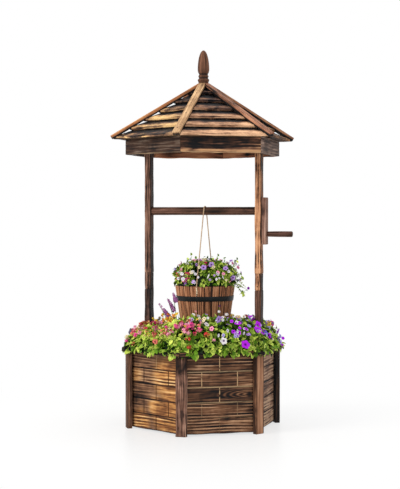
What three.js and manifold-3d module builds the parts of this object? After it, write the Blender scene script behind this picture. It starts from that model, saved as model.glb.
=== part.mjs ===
// Wishing well planter: a hexagonal boarded bed, two uprights with a windlass, a hanging
// bucket and a six-sided slatted roof. Millimetres, +Z up, front corner towards -Y and the
// crank towards +X. The origin is on the ground, below the middle of the overall box.

import * as THREE from "three";
import { mergeVertices } from "three/addons/utils/BufferGeometryUtils.js";
import Module from "manifold-3d";

const wasm = await Module();
wasm.setup();

// Fits
const clearance = 0.3; // between pieces that touch
const runningClearance = 0.4; // round a tenon that turns
const weld = 0.6; // how far strips glued on one another reach in
const overrun = 30; // how far a cutter runs past what it cuts

// Hexagonal bed
const sides = 6;
const wallApothem = 235.5; // outer face of a wall, from the axis
const wallThickness = 13;
const wallBottom = 5;
const boardCount = 5;
const boardGrooveDepth = 2.6;
const boardGrooveWidth = 5;
const brickOffset = 64; // joints in the even rows, either side of the middle
const brickJointDepth = 1.8;
const brickJointWidth = 3;
const cornerFlatRadius = 270.4; // planed corner that the post stands against
const battenWidth = 28;
const battenThickness = 15;
const battenOffset = 100;
const battenTopShortfall = 12;
const ledgeBottom = 9;
const ledgeHeight = 22;
const ledgeWidth = 18;
const floorThickness = 16;
const floorGap = 8;
const drainRadius = 6;
const drainSpacing = 110;
const drainInset = 90;

// Corner posts and rim
const postWidth = 38;
const postThickness = 18.3;
const postBevel = 2.5;
const rimBottom = 279;
const rimThickness = 17;
const rimOuterApothem = 265.4;
const rimInnerApothem = 223.2;
const rimBevel = 2.5;

// Uprights
const uprightThickness = 23.5;
const uprightWidth = 38;
const upperWidth = 36.5;
const uprightTop = 1046;
const spliceLow = 501;
const spliceHigh = 562;

// Windlass
const rollerHeight = 790;
const rollerRadius = 14.75;
const rollerEndPlay = 1;
const tenonRadius = 10;
const tenonStub = 3;
const armGap = 2;
const armThickness = 16;
const armWidth = 38;
const armAbovePivot = 49;
const armBelowPivot = 122;
const armBevel = 2;
const handleThrow = 84;
const handleRadius = 10.5;
const handleWaistRadius = 9.4;
const handleTenonRadius = 7;
const handleLength = 94.8; // clear of the arm
const handleRounding = 4;

// Roof
const fasciaStandOff = 12.68; // between the uprights and the fascia
const fasciaThickness = 18;
const fasciaHeight = 59;
const fasciaRise = 7; // of the fascia's top above the uprights
const fasciaBevel = 1.5;
const bearerThickness = 20;
const bearerHeight = 36;
const eaveOverhang = 39; // of the slats past the fascia, along the hip
const eaveDrop = 3; // of the lowest slat's edge below the fascia's top
const rowCount = 6;
const topRowRadius = 56; // of the corners of the top row's lower edge
const rowRise = 33;
const slatThickness = 9;
const slatWidth = 62;
const slatSlope = 22.5; // degrees, flatter than the roof, so each slat laps the one below
const rafterWidth = 28;
const rafterDepth = 18;
const rafterBite = 1.5; // how far the slats' upper edges are let into the rafter
const packerLength = 36; // of the wedge that carries the top row, from the axis
const hipBattenWidth = 24;
const hipBattenThickness = 15;
const hipBite = 6; // how deep the slats' corners are let into the hip battens
const hipOverhang = 15; // of the hip battens past the slats
const apexBlockApothem = 16;
const apexBlockHeight = 82.4;

// Finial
const finialHeight = 119.6; // without its tenon
const finialBaseRadius = 18.8;
const finialBaseHeight = 4;
const finialRingRadius = 21.2;
const finialRingHeight = 11;
const finialGrooveRadius = 16.8;
const finialGrooveHeight = 20;
const finialBeadRadius = 18.8;
const finialBeadHeight = 8;
const finialNeckRadius = 16.2;
const finialNeckHeight = 32;
const finialBodyRadius = 21.35;
const finialBodyHeight = 49.5; // widest place of the body, above the finial's foot
const finialTenonRadius = 6;
const finialTenonLength = 26;

// Bucket
const bucketGap = 30; // between the bucket's foot and the foliage below it
const bucketHeight = 150;
const bucketTopRadius = 110.5;
const bucketBottomRadius = 89;
const staveCount = 24;
const staveThickness = 9;
const staveGrooveDepth = 1.4;
const staveGrooveWidth = 2.6;
const bucketBottomInset = 7;
const bucketBottomThickness = 12;
const hoopWidth = 18;
const hoopDrop = 36; // from the bucket's rim to the hoop's upper edge
const hoopThickness = 1.6;

// Rope
const hangOffset = 6; // of the rope and bucket from the well's axis, towards the crank
const ropeRadius = 2;
const ropeStepShare = 5; // length of a step along a straight strand, in rope radii
const ropeHoleDrop = 25; // from the bucket's rim to the rope holes
const ropeHoleRadius = 3;
const ropeBendRadius = 5; // where the rope turns into its hole
const knotRadius = 5.4;
const knotLength = 10;
const strandDipShare = 0.35; // how far a leaning strand's end dips, in rope radii

// Planting
const soilBelowRim = 40;
const soilInset = 16;
const slotClearance = 2.5;
const bedDipRise = 40; // of the foliage below the bucket, above the rim
const bedCrownRise = 48; // of the foliage's crown, above that dip
const bedCrownRadius = 190;
const bedSpreadRadius = 260;
const bedSpreadRise = 26; // of the foliage's widest place, above the rim
const cornerRoundingShare = 0.75; // of the half sector, where the foliage's corners round off
const clumpCount = 7;
const clumpDepth = 12;
const bucketSoilClearance = 1; // to the staves, and below the knots
const bucketCrownRise = 101; // of the foliage's crown, above the bucket's rim
const bucketSpreadRadius = 121;
const bucketSpreadRise = 32; // of the foliage's widest place, above the bucket's rim
const strandNotchWidth = 14;
const strandNotchMargin = 5;

// Facets
const roundSegments = 24;
const cordSegments = 8;
const arcDivisions = 4;

// Derived sizes
const rightAngle = Math.PI / 2;
const sectorAngle = (2 * Math.PI) / sides;
const halfSector = sectorAngle / 2;
const cornerFactor = Math.cos(halfSector);
const wallInnerApothem = wallApothem - wallThickness;
const wallTop = rimBottom - clearance;
const boardHeight = (wallTop - wallBottom) / boardCount;
const ledgeTop = ledgeBottom + ledgeHeight;
const floorBottom = ledgeTop + clearance;
const floorTop = floorBottom + floorThickness;
const rimTop = rimBottom + rimThickness;
const postBackRadius = cornerFlatRadius + clearance;
const uprightOuterFace = wallInnerApothem - clearance;
const uprightInnerFace = uprightOuterFace - uprightThickness;
const uprightMiddle = (uprightOuterFace + uprightInnerFace) / 2;
const armInnerFace = uprightOuterFace + armGap;
const armOuterFace = armInnerFace + armThickness;
const handleEnd = armOuterFace + handleLength;
const fasciaTop = uprightTop + fasciaRise;
const fasciaBottom = fasciaTop - fasciaHeight;
const fasciaInnerApothem = uprightOuterFace + fasciaStandOff;
const fasciaOuterApothem = fasciaInnerApothem + fasciaThickness;
const fasciaCornerRadius = fasciaOuterApothem / cornerFactor;
const eaveBottom = fasciaTop - eaveDrop;
const eaveCornerRadius = fasciaCornerRadius + eaveOverhang;
const hipTipRadius = eaveCornerRadius + hipOverhang;
const rowPitch = (eaveCornerRadius - topRowRadius) / (rowCount - 1); // along the hip, in plan
const roofSlope = rowRise / (rowPitch * cornerFactor);
const hipSlope = Math.atan2(rowRise, rowPitch);
const slatAngle = THREE.MathUtils.degToRad(slatSlope);
const apexBlockTop = hipUnderside(apexBlockApothem + clearance) + hipBattenThickness / Math.cos(hipSlope);
const finialBottom = apexBlockTop + clearance;
const finialTop = finialBottom + finialHeight;
const bedDipHeight = rimTop + bedDipRise;
const bedCrownHeight = bedDipHeight + bedCrownRise;
const bedSpreadHeight = rimTop + bedSpreadRise;
const bucketBottom = bedDipHeight + bucketGap;
const bucketTop = bucketBottom + bucketHeight;
const bucketCrownHeight = bucketTop + bucketCrownRise;
const bucketSpreadHeight = bucketTop + bucketSpreadRise;
const bucketRatio = bucketTopRadius / bucketBottomRadius;
const ropeHoleHeight = bucketTop - ropeHoleDrop;
const loopRadius = rollerRadius + clearance + ropeRadius;
const soilTop = rimTop - soilBelowRim;
const bucketSoilTop = ropeHoleHeight - knotRadius - bucketSoilClearance;

// Lower outer edge of a slat row, in distance from the axis and height
function rowFoot(row) {
  return [(eaveCornerRadius - row * rowPitch) * cornerFactor, eaveBottom + row * rowRise];
}

// Height of the hip battens' underside, which is let down over the slats' upper corners
function hipUnderside(radius) {
  const [foot, height] = rowFoot(0);
  const cornerRadius = (foot + slatThickness * Math.sin(slatAngle)) / cornerFactor;
  const cornerHeight = height + slatThickness * Math.cos(slatAngle);
  return cornerHeight - hipBite / Math.cos(hipSlope) + (cornerRadius - radius) * Math.tan(hipSlope);
}

// How much wider the bucket is at a height than at its foot
function bucketSpread(height) {
  return 1 + ((bucketRatio - 1) * (height - bucketBottom)) / bucketHeight;
}

function bucketRadius(height) {
  return bucketBottomRadius * bucketSpread(height);
}

// Inner radius of the staves at a height, measured to their flats
function bucketInside(height) {
  return (bucketBottomRadius - staveThickness) * bucketSpread(height) * Math.cos(Math.PI / staveCount);
}

// The strands run from the roller to the bucket's rim, in Y and Z
const strandEndY = bucketTopRadius + ropeRadius + 2 * clearance;
const strandReach = Math.hypot(strandEndY, rollerHeight - bucketTop);
const strandLean = Math.atan2(strandEndY, rollerHeight - bucketTop) - Math.asin(loopRadius / strandReach);
const strandTopY = loopRadius * Math.cos(strandLean);
const strandTopZ = rollerHeight + loopRadius * Math.sin(strandLean);

// Materials
function paint(color, roughness, metalness = 0) {
  return new THREE.MeshStandardMaterial({ color, roughness, metalness });
}
const darkWood = () => paint(0x4b3328, 0.75);
const brownWood = () => paint(0x6b4630, 0.75);
const tanWood = () => paint(0xa8763f, 0.8);
const blackSteel = () => paint(0x1d2224, 0.45, 0.8);
const jute = () => paint(0xbfa27a, 0.95);
const soil = () => paint(0x2e221a, 1);
const foliage = () => paint(0x5d8a35, 0.9);

// Solid for a boolean, from a closed geometry
function solidOf(geometry) {
  const bare = geometry.clone();
  bare.deleteAttribute("normal");
  bare.deleteAttribute("uv");
  const welded = mergeVertices(bare);
  const mesh = new wasm.Mesh({
    numProp: 3,
    vertProperties: new Float32Array(welded.attributes.position.array),
    triVerts: new Uint32Array(welded.index.array),
  });
  return new wasm.Manifold(mesh);
}

// Geometry of a finished boolean
function geometryOf(solid) {
  const mesh = solid.getMesh();
  const geometry = new THREE.BufferGeometry();
  geometry.setAttribute("position", new THREE.BufferAttribute(mesh.vertProperties, 3));
  geometry.setIndex(new THREE.BufferAttribute(mesh.triVerts, 1));
  geometry.computeVertexNormals();
  return geometry;
}

function joined(...geometries) {
  return geometryOf(geometries.map(solidOf).reduce((whole, piece) => whole.add(piece)));
}

function cut(geometry, ...cutters) {
  return geometryOf(cutters.map(solidOf).reduce((whole, cutter) => whole.subtract(cutter), solidOf(geometry)));
}

function common(geometry, bounds) {
  return geometryOf(solidOf(geometry).intersect(solidOf(bounds)));
}

function shapeOf(points) {
  return new THREE.Shape(points.map(([x, y]) => new THREE.Vector2(x, y)));
}

// Outline in plan, raised between two heights
function plate(shape, bottom, top) {
  const geometry = new THREE.ExtrudeGeometry(shape, { depth: top - bottom, bevelEnabled: false });
  return geometry.translate(0, 0, bottom);
}

// Profile in distance from the axis and height, drawn along Y about the middle
function bar(profile, length) {
  const geometry = new THREE.ExtrudeGeometry(shapeOf(profile), { depth: length, bevelEnabled: false });
  return geometry.rotateX(rightAngle).translate(0, length / 2, 0);
}

// Profile in Y and Z, drawn along X between two places
function crossBar(shape, from, to) {
  const geometry = new THREE.ExtrudeGeometry(shape, { depth: to - from, bevelEnabled: false });
  return geometry.rotateX(rightAngle).rotateZ(rightAngle).translate(from, 0, 0);
}

// Profile of radius and height, turned about Z
function turned(profile, segments = roundSegments) {
  const points = profile.map(([radius, height]) => new THREE.Vector2(radius, height));
  return new THREE.LatheGeometry(points, segments).rotateX(rightAngle);
}

// Round cutter along X
function boreX(radius, y, z, from, to) {
  const geometry = new THREE.CylinderGeometry(radius, radius, to - from, roundSegments);
  return geometry.rotateZ(rightAngle).translate((from + to) / 2, y, z);
}

// Rectangle with bevelled corners
function bevelled(low, high, bottom, top, bevel) {
  return [
    [low + bevel, bottom],
    [high - bevel, bottom],
    [high, bottom + bevel],
    [high, top - bevel],
    [high - bevel, top],
    [low + bevel, top],
    [low, top - bevel],
    [low, bottom + bevel],
  ];
}

function rectangle(low, high, bottom, top) {
  return [
    [low, bottom],
    [high, bottom],
    [high, top],
    [low, top],
  ];
}

// One sixth of the plan between two mitre planes, with its outer corners planed off square
// to the corner's direction at a radius
function sector(radius, bottom, top) {
  const gap = clearance / 2;
  const cornerX = radius * Math.cos(halfSector) + gap * Math.sin(halfSector);
  const cornerY = radius * Math.sin(halfSector) - gap * Math.cos(halfSector);
  const outline = [
    [gap / Math.sin(halfSector), 0],
    [cornerX, -cornerY],
    [radius / Math.cos(halfSector), 0],
    [cornerX, cornerY],
  ];
  return plate(shapeOf(outline), bottom, top);
}

// Bed

// Boards with a groove at each joint, brick joints cut across them, two inner battens and
// the ledge that carries the floor
function wallPanel() {
  const face = [];
  for (let row = 1; row < boardCount; row += 1) {
    const joint = wallBottom + row * boardHeight;
    face.push([wallApothem, joint - boardGrooveWidth / 2]);
    face.push([wallApothem - boardGrooveDepth, joint]);
    face.push([wallApothem, joint + boardGrooveWidth / 2]);
  }
  const boards = bar(
    [
      [wallInnerApothem, wallBottom],
      [wallApothem, wallBottom],
      ...face,
      [wallApothem, wallTop],
      [wallInnerApothem, wallTop],
    ],
    2 * wallApothem,
  );
  const ledgeProfile = rectangle(wallInnerApothem - ledgeWidth, wallInnerApothem + weld, ledgeBottom, ledgeTop);
  const ledge = bar(ledgeProfile, 2 * wallApothem);
  const battens = [-battenOffset, battenOffset].map((y) => {
    const battenBottom = floorTop + clearance;
    const battenTop = wallTop - battenTopShortfall;
    const inner = wallInnerApothem - battenThickness;
    const profile = rectangle(inner, wallInnerApothem + weld, battenBottom, battenTop);
    return bar(profile, battenWidth).translate(0, y, 0);
  });
  const whole = joined(boards, ledge, ...battens);
  const mitred = common(whole, sector(cornerFlatRadius, wallBottom - overrun, wallTop + overrun));
  return cut(mitred, ...brickJoints());
}

// The middle joint is in the odd rows and the two outer ones are in the even rows
function brickJoints() {
  const joints = [];
  for (let row = 0; row < boardCount; row += 1) {
    const bottom = wallBottom + row * boardHeight;
    const places = row % 2 === 0 ? [0] : [-brickOffset, brickOffset];
    for (const y of places) {
      const outline = [
        [wallApothem - brickJointDepth, y],
        [wallApothem + brickJointDepth, y - brickJointWidth],
        [wallApothem + brickJointDepth, y + brickJointWidth],
      ];
      joints.push(plate(shapeOf(outline), bottom, bottom + boardHeight));
    }
  }
  return joints;
}

function cornerPost() {
  const outer = postBackRadius + postThickness;
  const outline = bevelled(postBackRadius, outer, -postWidth / 2, postWidth / 2, postBevel);
  return plate(shapeOf(outline), 0, wallTop);
}

function rimBoard() {
  const profile = bevelled(rimInnerApothem, rimOuterApothem, rimBottom, rimTop, rimBevel);
  const board = bar(profile, 2 * rimOuterApothem);
  return common(board, sector(rimOuterApothem + overrun + rimThickness, rimBottom - overrun, rimTop + overrun));
}

// Front half of the floor, with drain holes
function floorBoard() {
  const apothem = wallInnerApothem - clearance;
  const cornerY = apothem * Math.tan(halfSector);
  const shape = shapeOf([
    [-apothem, -floorGap / 2],
    [-apothem, -cornerY],
    [0, -apothem / cornerFactor],
    [apothem, -cornerY],
    [apothem, -floorGap / 2],
  ]);
  for (const x of [-drainSpacing, 0, drainSpacing]) {
    const hole = new THREE.Path();
    hole.absarc(x, -drainInset, drainRadius, 0, 2 * Math.PI);
    shape.holes.push(hole);
  }
  return plate(shape, floorBottom, floorTop);
}

// Uprights, drawn for the -X side: the lower piece runs on up behind the splice

function uprightLower() {
  const half = uprightWidth / 2;
  const profile = [
    [-half, floorTop + clearance],
    [half, floorTop + clearance],
    [half, spliceHigh - clearance],
    [clearance / 2, spliceHigh - clearance],
    [clearance / 2, spliceLow - clearance],
    [-half, spliceLow - clearance],
  ];
  return crossBar(shapeOf(profile), -uprightOuterFace, -uprightInnerFace);
}

function uprightUpper() {
  const half = upperWidth / 2;
  const profile = [
    [-half, spliceLow],
    [-clearance / 2, spliceLow],
    [-clearance / 2, spliceHigh],
    [half, spliceHigh],
    [half, uprightTop],
    [-half, uprightTop],
  ];
  const post = crossBar(shapeOf(profile), -uprightOuterFace, -uprightInnerFace);
  const hole = tenonRadius + runningClearance;
  return cut(post, boreX(hole, 0, rollerHeight, -uprightOuterFace - overrun, -uprightInnerFace + overrun));
}

// Windlass

function roller() {
  const shoulder = uprightInnerFace - rollerEndPlay;
  const profile = [
    [0, -uprightOuterFace - tenonStub],
    [tenonRadius, -uprightOuterFace - tenonStub],
    [tenonRadius, -shoulder],
    [rollerRadius, -shoulder],
    [rollerRadius, shoulder],
    [tenonRadius, shoulder],
    [tenonRadius, armOuterFace],
    [0, armOuterFace],
  ];
  return turned(profile).rotateY(rightAngle).translate(0, 0, rollerHeight);
}

function crankArm() {
  const outline = bevelled(
    -armWidth / 2,
    armWidth / 2,
    rollerHeight - armBelowPivot,
    rollerHeight + armAbovePivot,
    armBevel,
  );
  const arm = crossBar(shapeOf(outline), armInnerFace, armOuterFace);
  const from = armInnerFace - overrun;
  const to = armOuterFace + overrun;
  const handleHeight = rollerHeight - handleThrow;
  return cut(
    arm,
    boreX(tenonRadius + clearance, 0, rollerHeight, from, to),
    boreX(handleTenonRadius + clearance, 0, handleHeight, from, to),
  );
}

function crankHandle() {
  const start = armOuterFace + clearance;
  const outline = new THREE.Path();
  outline.moveTo(0, armInnerFace);
  outline.lineTo(handleTenonRadius, armInnerFace);
  outline.lineTo(handleTenonRadius, start);
  outline.lineTo(handleWaistRadius, start);
  outline.quadraticCurveTo(handleRadius, start, handleRadius, (start + handleEnd) / 2);
  outline.lineTo(handleRadius, handleEnd - handleRounding);
  outline.absarc(handleRadius - handleRounding, handleEnd - handleRounding, handleRounding, 0, rightAngle);
  outline.lineTo(0, handleEnd);
  const points = outline.getPoints(arcDivisions).map((point) => [point.x, point.y]);
  return turned(points).rotateY(rightAngle).translate(0, 0, rollerHeight - handleThrow);
}

// Roof

function fasciaBoard() {
  const profile = bevelled(fasciaInnerApothem, fasciaOuterApothem, fasciaBottom, fasciaTop, fasciaBevel);
  const board = bar(profile, 2 * fasciaOuterApothem);
  return common(board, sector(fasciaCornerRadius + overrun, fasciaBottom - overrun, fasciaTop + overrun));
}

// Beam across the back of both uprights that carries the side fascias
function roofBearer() {
  const near = upperWidth / 2 + clearance;
  const shape = shapeOf(rectangle(near, near + bearerThickness, uprightTop - bearerHeight, uprightTop));
  return crossBar(shape, -fasciaInnerApothem + clearance, fasciaInnerApothem - clearance);
}

function slat(row) {
  const [foot, height] = rowFoot(row);
  const along = [-slatWidth * Math.cos(slatAngle), slatWidth * Math.sin(slatAngle)];
  const up = [slatThickness * Math.sin(slatAngle), slatThickness * Math.cos(slatAngle)];
  const profile = [
    [foot, height],
    [foot + up[0], height + up[1]],
    [foot + along[0] + up[0], height + along[1] + up[1]],
    [foot + along[0], height + along[1]],
  ];
  return bar(profile, 2 * eaveCornerRadius);
}

// Height of the rafter's upper side, just above the slats' upper edges
function rafterTop(distance) {
  const [foot, height] = rowFoot(0);
  const edge = foot - slatWidth * Math.cos(slatAngle);
  return height + slatWidth * Math.sin(slatAngle) + rafterBite + (edge - distance) * roofSlope;
}

function rafter() {
  const drop = rafterDepth / Math.cos(Math.atan(roofSlope));
  const profile = [
    [fasciaOuterApothem, rafterTop(fasciaOuterApothem)],
    [0, rafterTop(0)],
    [0, rafterTop(0) - drop],
    [fasciaOuterApothem, rafterTop(fasciaOuterApothem) - drop],
  ];
  return bar(profile, rafterWidth);
}

// Wedge on the rafter's upper end, because the top row ends before it reaches the rafter
function topPacker() {
  const [foot, height] = rowFoot(rowCount - 1);
  const under = (distance) => height + (foot - distance) * Math.tan(slatAngle) + rafterBite;
  const profile = [
    [0, rafterTop(0) - rafterDepth / 2],
    [packerLength, rafterTop(packerLength) - rafterDepth / 2],
    [packerLength, under(packerLength)],
    [0, under(0)],
  ];
  return bar(profile, rafterWidth);
}

function apexPrism(apothem, bottom, top) {
  const radius = apothem / cornerFactor;
  const outline = [];
  for (let corner = 0; corner < sides; corner += 1) {
    outline.push([radius * Math.cos(corner * sectorAngle), radius * Math.sin(corner * sectorAngle)]);
  }
  return plate(shapeOf(outline), bottom, top);
}

// Room for the hip batten along one side of a roof panel
function hipSeat(angle) {
  const under = (radius) => hipUnderside(radius) - clearance / Math.cos(hipSlope);
  const far = hipTipRadius + overrun;
  const profile = [
    [0, under(0)],
    [far, under(far)],
    [far, finialTop],
    [0, finialTop],
  ];
  return bar(profile, hipBattenWidth + 2 * clearance).rotateZ(angle);
}

// Lapped slats on a rafter that sits over the fascia and against the apex block
function roofPanel() {
  const slats = [];
  for (let row = 0; row < rowCount; row += 1) {
    slats.push(slat(row));
  }
  const whole = joined(rafter(), topPacker(), ...slats);
  const mitred = common(whole, sector(eaveCornerRadius + hipTipRadius, fasciaBottom, finialTop));
  const seatProfile = rectangle(
    fasciaInnerApothem - clearance,
    fasciaOuterApothem + overrun,
    fasciaBottom - overrun,
    fasciaTop + clearance,
  );
  const seat = bar(seatProfile, rafterWidth + overrun);
  const block = apexPrism(apexBlockApothem + clearance, fasciaBottom, finialTop);
  return cut(mitred, seat, block, hipSeat(-halfSector), hipSeat(halfSector));
}

// Lies along a hip, drawn towards +X
function hipBatten() {
  const inner = apexBlockApothem + clearance;
  const foot = hipTipRadius - hipBattenThickness * Math.sin(hipSlope);
  const profile = [
    [inner, hipUnderside(inner)],
    [foot, hipUnderside(foot)],
    [hipTipRadius, hipUnderside(foot) + hipBattenThickness * Math.cos(hipSlope)],
    [inner, apexBlockTop],
  ];
  return common(bar(profile, hipBattenWidth), sector(2 * hipTipRadius, fasciaBottom, finialTop));
}

function apexBlock() {
  const block = apexPrism(apexBlockApothem, apexBlockTop - apexBlockHeight, apexBlockTop);
  const socketBottom = finialBottom - finialTenonLength - clearance;
  const radius = finialTenonRadius + clearance;
  const socket = new THREE.CylinderGeometry(radius, radius, finialTenonLength + overrun, roundSegments);
  const middle = socketBottom + (finialTenonLength + overrun) / 2;
  return cut(block, socket.rotateX(rightAngle).translate(0, 0, middle));
}

// Turned finial: tenon, foot, ring, groove, bead, neck and an egg-shaped body
function finial() {
  const foot = finialBottom;
  const ringTop = foot + finialBaseHeight + finialRingHeight;
  const bodyMiddle = foot + finialBodyHeight;
  const neck = foot + finialNeckHeight;
  const grooveTop = foot + finialGrooveHeight;
  const lowerHalf = (bodyMiddle - neck) / Math.sqrt(1 - (finialNeckRadius / finialBodyRadius) ** 2);
  const upperHalf = finialTop - bodyMiddle;
  const neckAngle = -Math.acos(finialNeckRadius / finialBodyRadius);
  const outline = new THREE.Path();
  outline.moveTo(0, foot - finialTenonLength);
  outline.lineTo(finialTenonRadius, foot - finialTenonLength);
  outline.lineTo(finialTenonRadius, foot);
  outline.lineTo(finialBaseRadius, foot);
  outline.lineTo(finialBaseRadius, foot + finialBaseHeight);
  const ringBulge = finialRingRadius - finialGrooveRadius;
  const ringMiddle = ringTop - finialRingHeight / 2;
  outline.absellipse(finialGrooveRadius, ringMiddle, ringBulge, finialRingHeight / 2, -rightAngle, rightAngle);
  outline.lineTo(finialGrooveRadius, grooveTop);
  const beadBulge = finialBeadRadius - finialNeckRadius;
  const beadMiddle = grooveTop + finialBeadHeight / 2;
  outline.absellipse(finialNeckRadius, beadMiddle, beadBulge, finialBeadHeight / 2, -rightAngle, rightAngle);
  outline.lineTo(finialNeckRadius, neck);
  outline.absellipse(0, bodyMiddle, finialBodyRadius, lowerHalf, neckAngle, 0);
  outline.absellipse(0, bodyMiddle, finialBodyRadius, upperHalf, 0, rightAngle);
  const points = outline.getPoints(arcDivisions).map((point) => [Math.max(point.x, 0), point.y]);
  points[points.length - 1][0] = 0;
  return turned(points);
}

// Bucket

// Widens what stands on the bucket's foot by the bucket's taper
function tapered(geometry) {
  const place = geometry.attributes.position;
  for (let i = 0; i < place.count; i += 1) {
    const factor = bucketSpread(bucketBottom + place.getZ(i));
    place.setX(i, place.getX(i) * factor);
    place.setY(i, place.getY(i) * factor);
  }
  return geometry.translate(0, 0, bucketBottom);
}

// Flat-faced staves with a groove at each joint, as a plan at the bucket's foot
function staveOutline() {
  const step = (2 * Math.PI) / staveCount;
  const grooveAngle = staveGrooveWidth / 2 / bucketBottomRadius;
  const outline = [];
  for (let stave = 0; stave < staveCount; stave += 1) {
    const joint = (stave + 0.5) * step;
    const ring = [
      [joint, bucketBottomRadius - staveGrooveDepth],
      [joint + grooveAngle, bucketBottomRadius],
      [joint + step - grooveAngle, bucketBottomRadius],
    ];
    for (const [angle, radius] of ring) {
      outline.push([radius * Math.cos(angle), radius * Math.sin(angle)]);
    }
  }
  return outline;
}

function staveInside(radius) {
  const outline = [];
  for (let stave = 0; stave < staveCount; stave += 1) {
    const angle = ((stave + 0.5) * 2 * Math.PI) / staveCount;
    outline.push([radius * Math.cos(angle), radius * Math.sin(angle)]);
  }
  return outline;
}

function bucketStaves() {
  const inside = bucketBottomRadius - staveThickness;
  const outer = tapered(plate(shapeOf(staveOutline()), 0, bucketHeight));
  const hollow = tapered(plate(shapeOf(staveInside(inside)), -overrun, bucketHeight + overrun));
  const holeLength = 2 * (bucketTopRadius + overrun);
  const ropeHoles = new THREE.CylinderGeometry(ropeHoleRadius, ropeHoleRadius, holeLength, roundSegments / 2);
  return cut(outer, hollow, ropeHoles.translate(0, 0, ropeHoleHeight));
}

// Plan inside the staves, widened with them between two heights
function fillOfBucket(bottom, top, gap) {
  const inside = bucketBottomRadius - staveThickness - gap / Math.cos(Math.PI / staveCount);
  return tapered(plate(shapeOf(staveInside(inside)), bottom - bucketBottom, top - bucketBottom));
}

function bucketBoard() {
  const bottom = bucketBottom + bucketBottomInset;
  return fillOfBucket(bottom, bottom + bucketBottomThickness, clearance);
}

function bucketHoop() {
  const top = bucketTop - hoopDrop;
  const bottom = top - hoopWidth;
  const fit = clearance / Math.cos(Math.PI / (2 * roundSegments));
  const inner = (height) => bucketRadius(height) / Math.cos(Math.PI / (2 * roundSegments)) + fit;
  const profile = [
    [inner(bottom), bottom],
    [inner(bottom) + hoopThickness, bottom],
    [inner(top) + hoopThickness, top],
    [inner(top), top],
    [inner(bottom), bottom],
  ];
  return turned(profile, 2 * roundSegments);
}

// Rope

function tube(path, steps) {
  const outline = [];
  for (let i = 0; i < cordSegments; i += 1) {
    const angle = (i * 2 * Math.PI) / cordSegments;
    outline.push([ropeRadius * Math.cos(angle), ropeRadius * Math.sin(angle)]);
  }
  return new THREE.ExtrudeGeometry(shapeOf(outline), { steps, extrudePath: path });
}

// Half turn over the roller, from strand to strand
function ropeLoop() {
  const gap = clearance / loopRadius;
  const start = -strandLean - gap - Math.PI;
  const path = new THREE.CatmullRomCurve3([]);
  const arcSteps = 4 * arcDivisions;
  for (let i = 0; i <= arcSteps; i += 1) {
    const angle = start - (i / arcSteps) * (Math.PI - 2 * strandLean - 2 * gap);
    path.points.push(
      new THREE.Vector3(0, loopRadius * Math.cos(angle), rollerHeight + loopRadius * Math.sin(angle)),
    );
  }
  return tube(path, arcSteps);
}

// Front strand, straight from the roller to the bucket's rim
function ropeStrand() {
  const top = new THREE.Vector3(0, -strandTopY, strandTopZ);
  const end = new THREE.Vector3(0, -strandEndY, bucketTop);
  const steps = Math.round(top.distanceTo(end) / (ropeStepShare * ropeRadius));
  return tube(new THREE.LineCurve3(top, end), steps);
}

// Rope down the outside of the staves and through its hole, with a knot inside
function ropeEnd() {
  const start = bucketTop - ropeRadius * strandDipShare - clearance;
  const face = -bucketRadius(ropeHoleHeight) - ropeRadius - clearance;
  const inside = -bucketInside(ropeHoleHeight) + clearance;
  const bendTop = ropeHoleHeight + ropeBendRadius;
  const path = new THREE.CurvePath();
  path.add(new THREE.LineCurve3(new THREE.Vector3(0, -strandEndY, start), new THREE.Vector3(0, face, bendTop)));
  path.add(
    new THREE.QuadraticBezierCurve3(
      new THREE.Vector3(0, face, bendTop),
      new THREE.Vector3(0, face, ropeHoleHeight),
      new THREE.Vector3(0, face + ropeBendRadius, ropeHoleHeight),
    ),
  );
  const through = new THREE.Vector3(0, inside + knotLength / 2, ropeHoleHeight);
  path.add(new THREE.LineCurve3(new THREE.Vector3(0, face + ropeBendRadius, ropeHoleHeight), through));
  const knot = new THREE.SphereGeometry(knotRadius, roundSegments / 2, roundSegments / 4);
  knot.scale(1, knotLength / 2 / knotRadius, 1).translate(0, inside + knotLength / 2, ropeHoleHeight);
  return joined(tube(path, 4 * arcDivisions), knot);
}

// Planting

// Room round both uprights
function uprightSlots(bottom, top) {
  return [-uprightMiddle, uprightMiddle].map((x) => {
    const halfThickness = uprightThickness / 2 + slotClearance;
    const halfWidth = uprightWidth / 2 + slotClearance;
    return plate(
      shapeOf(rectangle(x - halfThickness, x + halfThickness, -halfWidth, halfWidth)),
      bottom - overrun,
      top + overrun,
    );
  });
}

function bedSoil() {
  const inset = wallInnerApothem - soilInset;
  const outline = [];
  for (let corner = 0; corner < sides; corner += 1) {
    const angle = halfSector + corner * sectorAngle;
    outline.push([(inset / cornerFactor) * Math.cos(angle), (inset / cornerFactor) * Math.sin(angle)]);
  }
  const bottom = floorTop + clearance;
  return cut(plate(shapeOf(outline), bottom, soilTop), ...uprightSlots(bottom, soilTop));
}

// Moves a turned form out towards the corners of a hexagon with rounded corners
function hexagonal(geometry) {
  const place = geometry.attributes.position;
  for (let i = 0; i < place.count; i += 1) {
    const angle = Math.atan2(place.getY(i), place.getX(i));
    const offset = Math.abs(angle - sectorAngle * Math.round(angle / sectorAngle));
    const factor = 1 / Math.cos(Math.min(offset, cornerRoundingShare * halfSector));
    place.setX(i, place.getX(i) * factor);
    place.setY(i, place.getY(i) * factor);
  }
  return geometry;
}

// Clumps: what stands above a height rises and falls by up to a depth round the form
function clumped(geometry, above, top, depth) {
  const place = geometry.attributes.position;
  for (let i = 0; i < place.count; i += 1) {
    const angle = Math.atan2(place.getY(i), place.getX(i));
    const wave = 1 + Math.sin(clumpCount * angle + 1) * Math.cos(2 * clumpCount * angle);
    const share = Math.max(place.getZ(i) - above, 0) / (top - above);
    place.setZ(i, place.getZ(i) - (share * wave * depth) / 2);
  }
  return geometry;
}

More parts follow.
